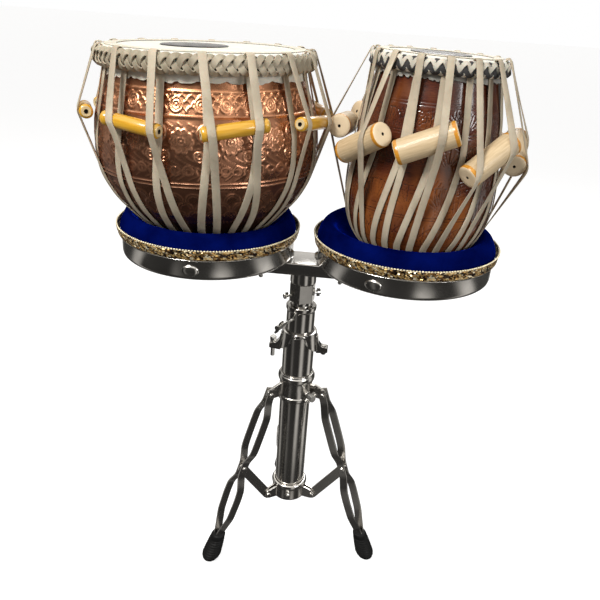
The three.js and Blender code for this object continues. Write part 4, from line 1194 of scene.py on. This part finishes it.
def build_lacing(drum, places):
    """The straps: those that cross a dowel are made in two halves, one above and one below that dowel."""
    inner, outer, bottom, top = drum["gajra"]
    radius, length, _ = drum["dowel"]
    crown = outer + drum_slot(drum, 0.4, 1.6)
    over = [(inner - 1.2, top - 2), (inner + 0.4, top + 0.6), ((inner + crown) / 2, top + 1.2),
            (crown - 1.2, top + 0.3), (crown, top - 2.4), (crown + 0.3, top - 5), (crown + 0.3, bottom + 5)]
    half_span = math.degrees(math.atan2(length / 2 - 8, places[0]["distance"]))
    rng = np.random.default_rng(31)
    steady = Build()
    halves = [(Build(), Build()) for _ in places]
    shell_line = shell_points(drum)
    slot = inner - 1.8
    under = np.vstack([[(slot, top - 12)], taut(np.vstack([[(slot, bottom - 2)], shell_line]))])
    for i, aside in enumerate(drum["aside"]):
        azimuth = drum["azimuth"] + 360 / len(drum["aside"]) * i
        jitter = rng.uniform(-0.5, 0.5, 4)
        apart = [abs(between(azimuth, place["azimuth"])) for place in places]
        crossed = [k for k, degrees in enumerate(apart) if degrees < half_span]

        def over_line(az, crossed=crossed):
            sections = [over_dowel(drum, places[k], az) for k in crossed[-1:]]
            return np.vstack([over[:4], taut(np.vstack([over[4:], *sections, shell_line]))])

        drift = (drum["drift"][0] + jitter[0] - aside, drum["drift"][1] + jitter[1] - aside)
        if crossed:
            place = places[crossed[-1]]
            delta = math.radians(between(azimuth + aside, place["azimuth"]))
            middle = place["height"] + place["distance"] * math.tan(delta) * math.tan(place["tilt"])
            for half, upper in zip(halves[crossed[-1]], (True, False)):
                lay_run(half, drum, azimuth + aside, over_line, drift, middle, upper)
        else:
            lay_run(steady, drum, azimuth + aside, over_line, drift)
        drift = (drum["inner"][0] + jitter[2], drum["inner"][1] + jitter[3])
        lay_run(steady, drum, azimuth, lambda az: under, drift)
    lathe(steady, circle(drum["kundal"], -2.5, 5.2, 5.2, 20), 120, closed=True,
          wobble=lambda a, r, z: 0.5 * math.sin(48 * a))
    drum_part(drum, "lacing", steady, [STRAP], more=("kundal",))
    name = drum["name"]
    for k, place in enumerate(places):
        a = math.radians(place["azimuth"])
        reach = radius + (length / 2) * abs(math.sin(place["tilt"])) * 0.6 + 3
        x, y = place["distance"] * math.sin(a), -place["distance"] * math.cos(a)
        levels = (bottom - 3, place["height"] + reach, place["height"] - reach, 30)
        spots = [drum["frame"] @ (Vector((x, y, z)) * MM) for z in levels]
        dowel = f"{name}_dowel_{k + 1}"
        ends = (("upper", (name, dowel), spots[:2]), ("lower", (dowel, name), spots[2:]))
        for half, (part, bodies, (start, end)) in zip(halves[k], ends):
            label = f"{name}_strap_{k + 1}_{part}"
            strap = make(label, half, drum["frame"], [STRAP], sharp=60)
            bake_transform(strap)


def dowel_profile(drum):
    """Radius-length points of a dowel from end to end, with a material number for each stretch."""
    half = drum["dowel"][1] / 2
    if drum["name"] == "bayan":
        side = [(2.4, 3.5, 2), (2.5, 0.4, 1), (5.4, 0.2, 1), (5.7, 0.9, 0), (6.6, 1.2, 0), (7.6, 2.4, 0),
                (8, 4.4, 0), (7.9, 8.2, 0), (7.1, 9.2, 0), (7.1, 10, 0), (7.9, 11, 0), (8, 13, 0),
                (7.6, 13.8, 0), (7.9, 14.6, 0)]
    else:
        side = [(1.7, 5, 2), (1.8, 0.3, 1), (5, 0, 1), (9.5, 0.1, 1), (12.6, 0.2, 1), (13.4, 0.9, 3),
                (13.9, 2, 3), (14, 3.2, 3), (14, 4.6, 3), (13.95, 5, 0), (14, 8, 0)]
    points = [(0, half - side[0][1])] + [(r, half - x) for r, x, _ in side]
    kinds = [2] + [k for _, _, k in side]
    return points + [(r, -x) for r, x in reversed(points)], kinds + kinds[-2::-1]


def build_dowels(drum, places):
    points, kinds = dowel_profile(drum)
    # The third material of each set paints the shade inside the dowel's end hole.
    yellow, pale = [LACQUER, CREAM_END, PAINTED_HOLE_SHADE, LACQUER], [PALE_WOOD, END_GRAIN, PAINTED_HOLE_SHADE, PAINTED_RIM]
    materials, slot = drum_slot(drum, (yellow, "lacquered_dowel"), (pale, "pale_dowel"))
    for k, place in enumerate(places):
        phase = np.random.default_rng(50 + k).uniform(0, 6.28, 2)

        def turning(a, r, z, phase=phase):
            return 0.08 * math.sin(2 * a + phase[0]) + 0.05 * math.sin(0.11 * z + 3 * a + phase[1])

        dowel = lathe(Build(), points, 56, kinds, wobble=turning)
        lay = Matrix.Rotation(place["tilt"], 4, "X") @ turn("X", 90)
        moved(dowel, spin(place["azimuth"]) @ shift(place["distance"], 0, place["height"]) @ lay)
        drum_part(drum, f"dowel_{k + 1}", dowel, materials, 50, f"_dowel_{k + 1}")


# ---- the whole scene -----------------------------------------------------------------------------
build_column()
build_collars()
build_clamp()
for side, azimuth in LEGS.items():
    build_leg(side, azimuth)
build_crossbar()
for side, sign in (("left", -1), ("right", 1)):
    place = build_tray(side, sign)
    build_cushion(side, place)
    build_trim(side, place)
build_shell(BAYAN, COPPER, embossed, 133, (0.0, 1.1), 900, 230)
build_shell(DAYAN, ROSEWOOD, carved, 90, (-0.6, 0.6), 720, 260)
for drum in (BAYAN, DAYAN):
    places = dowel_places(drum)
    build_head(drum)
    build_gajra(drum)
    build_skirt(drum)
    build_lacing(drum, places)
    build_dowels(drum, places)

for name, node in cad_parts.items():
    if node.hide_render:
        continue
    node.data.materials.clear()
    node.data.materials.append(STEEL if "screw" in name or "bolt" in name else CHROME)
    add_bevel(node, 0.4, 2, 50)

bpy.context.scene.view_settings.view_transform = "Standard"
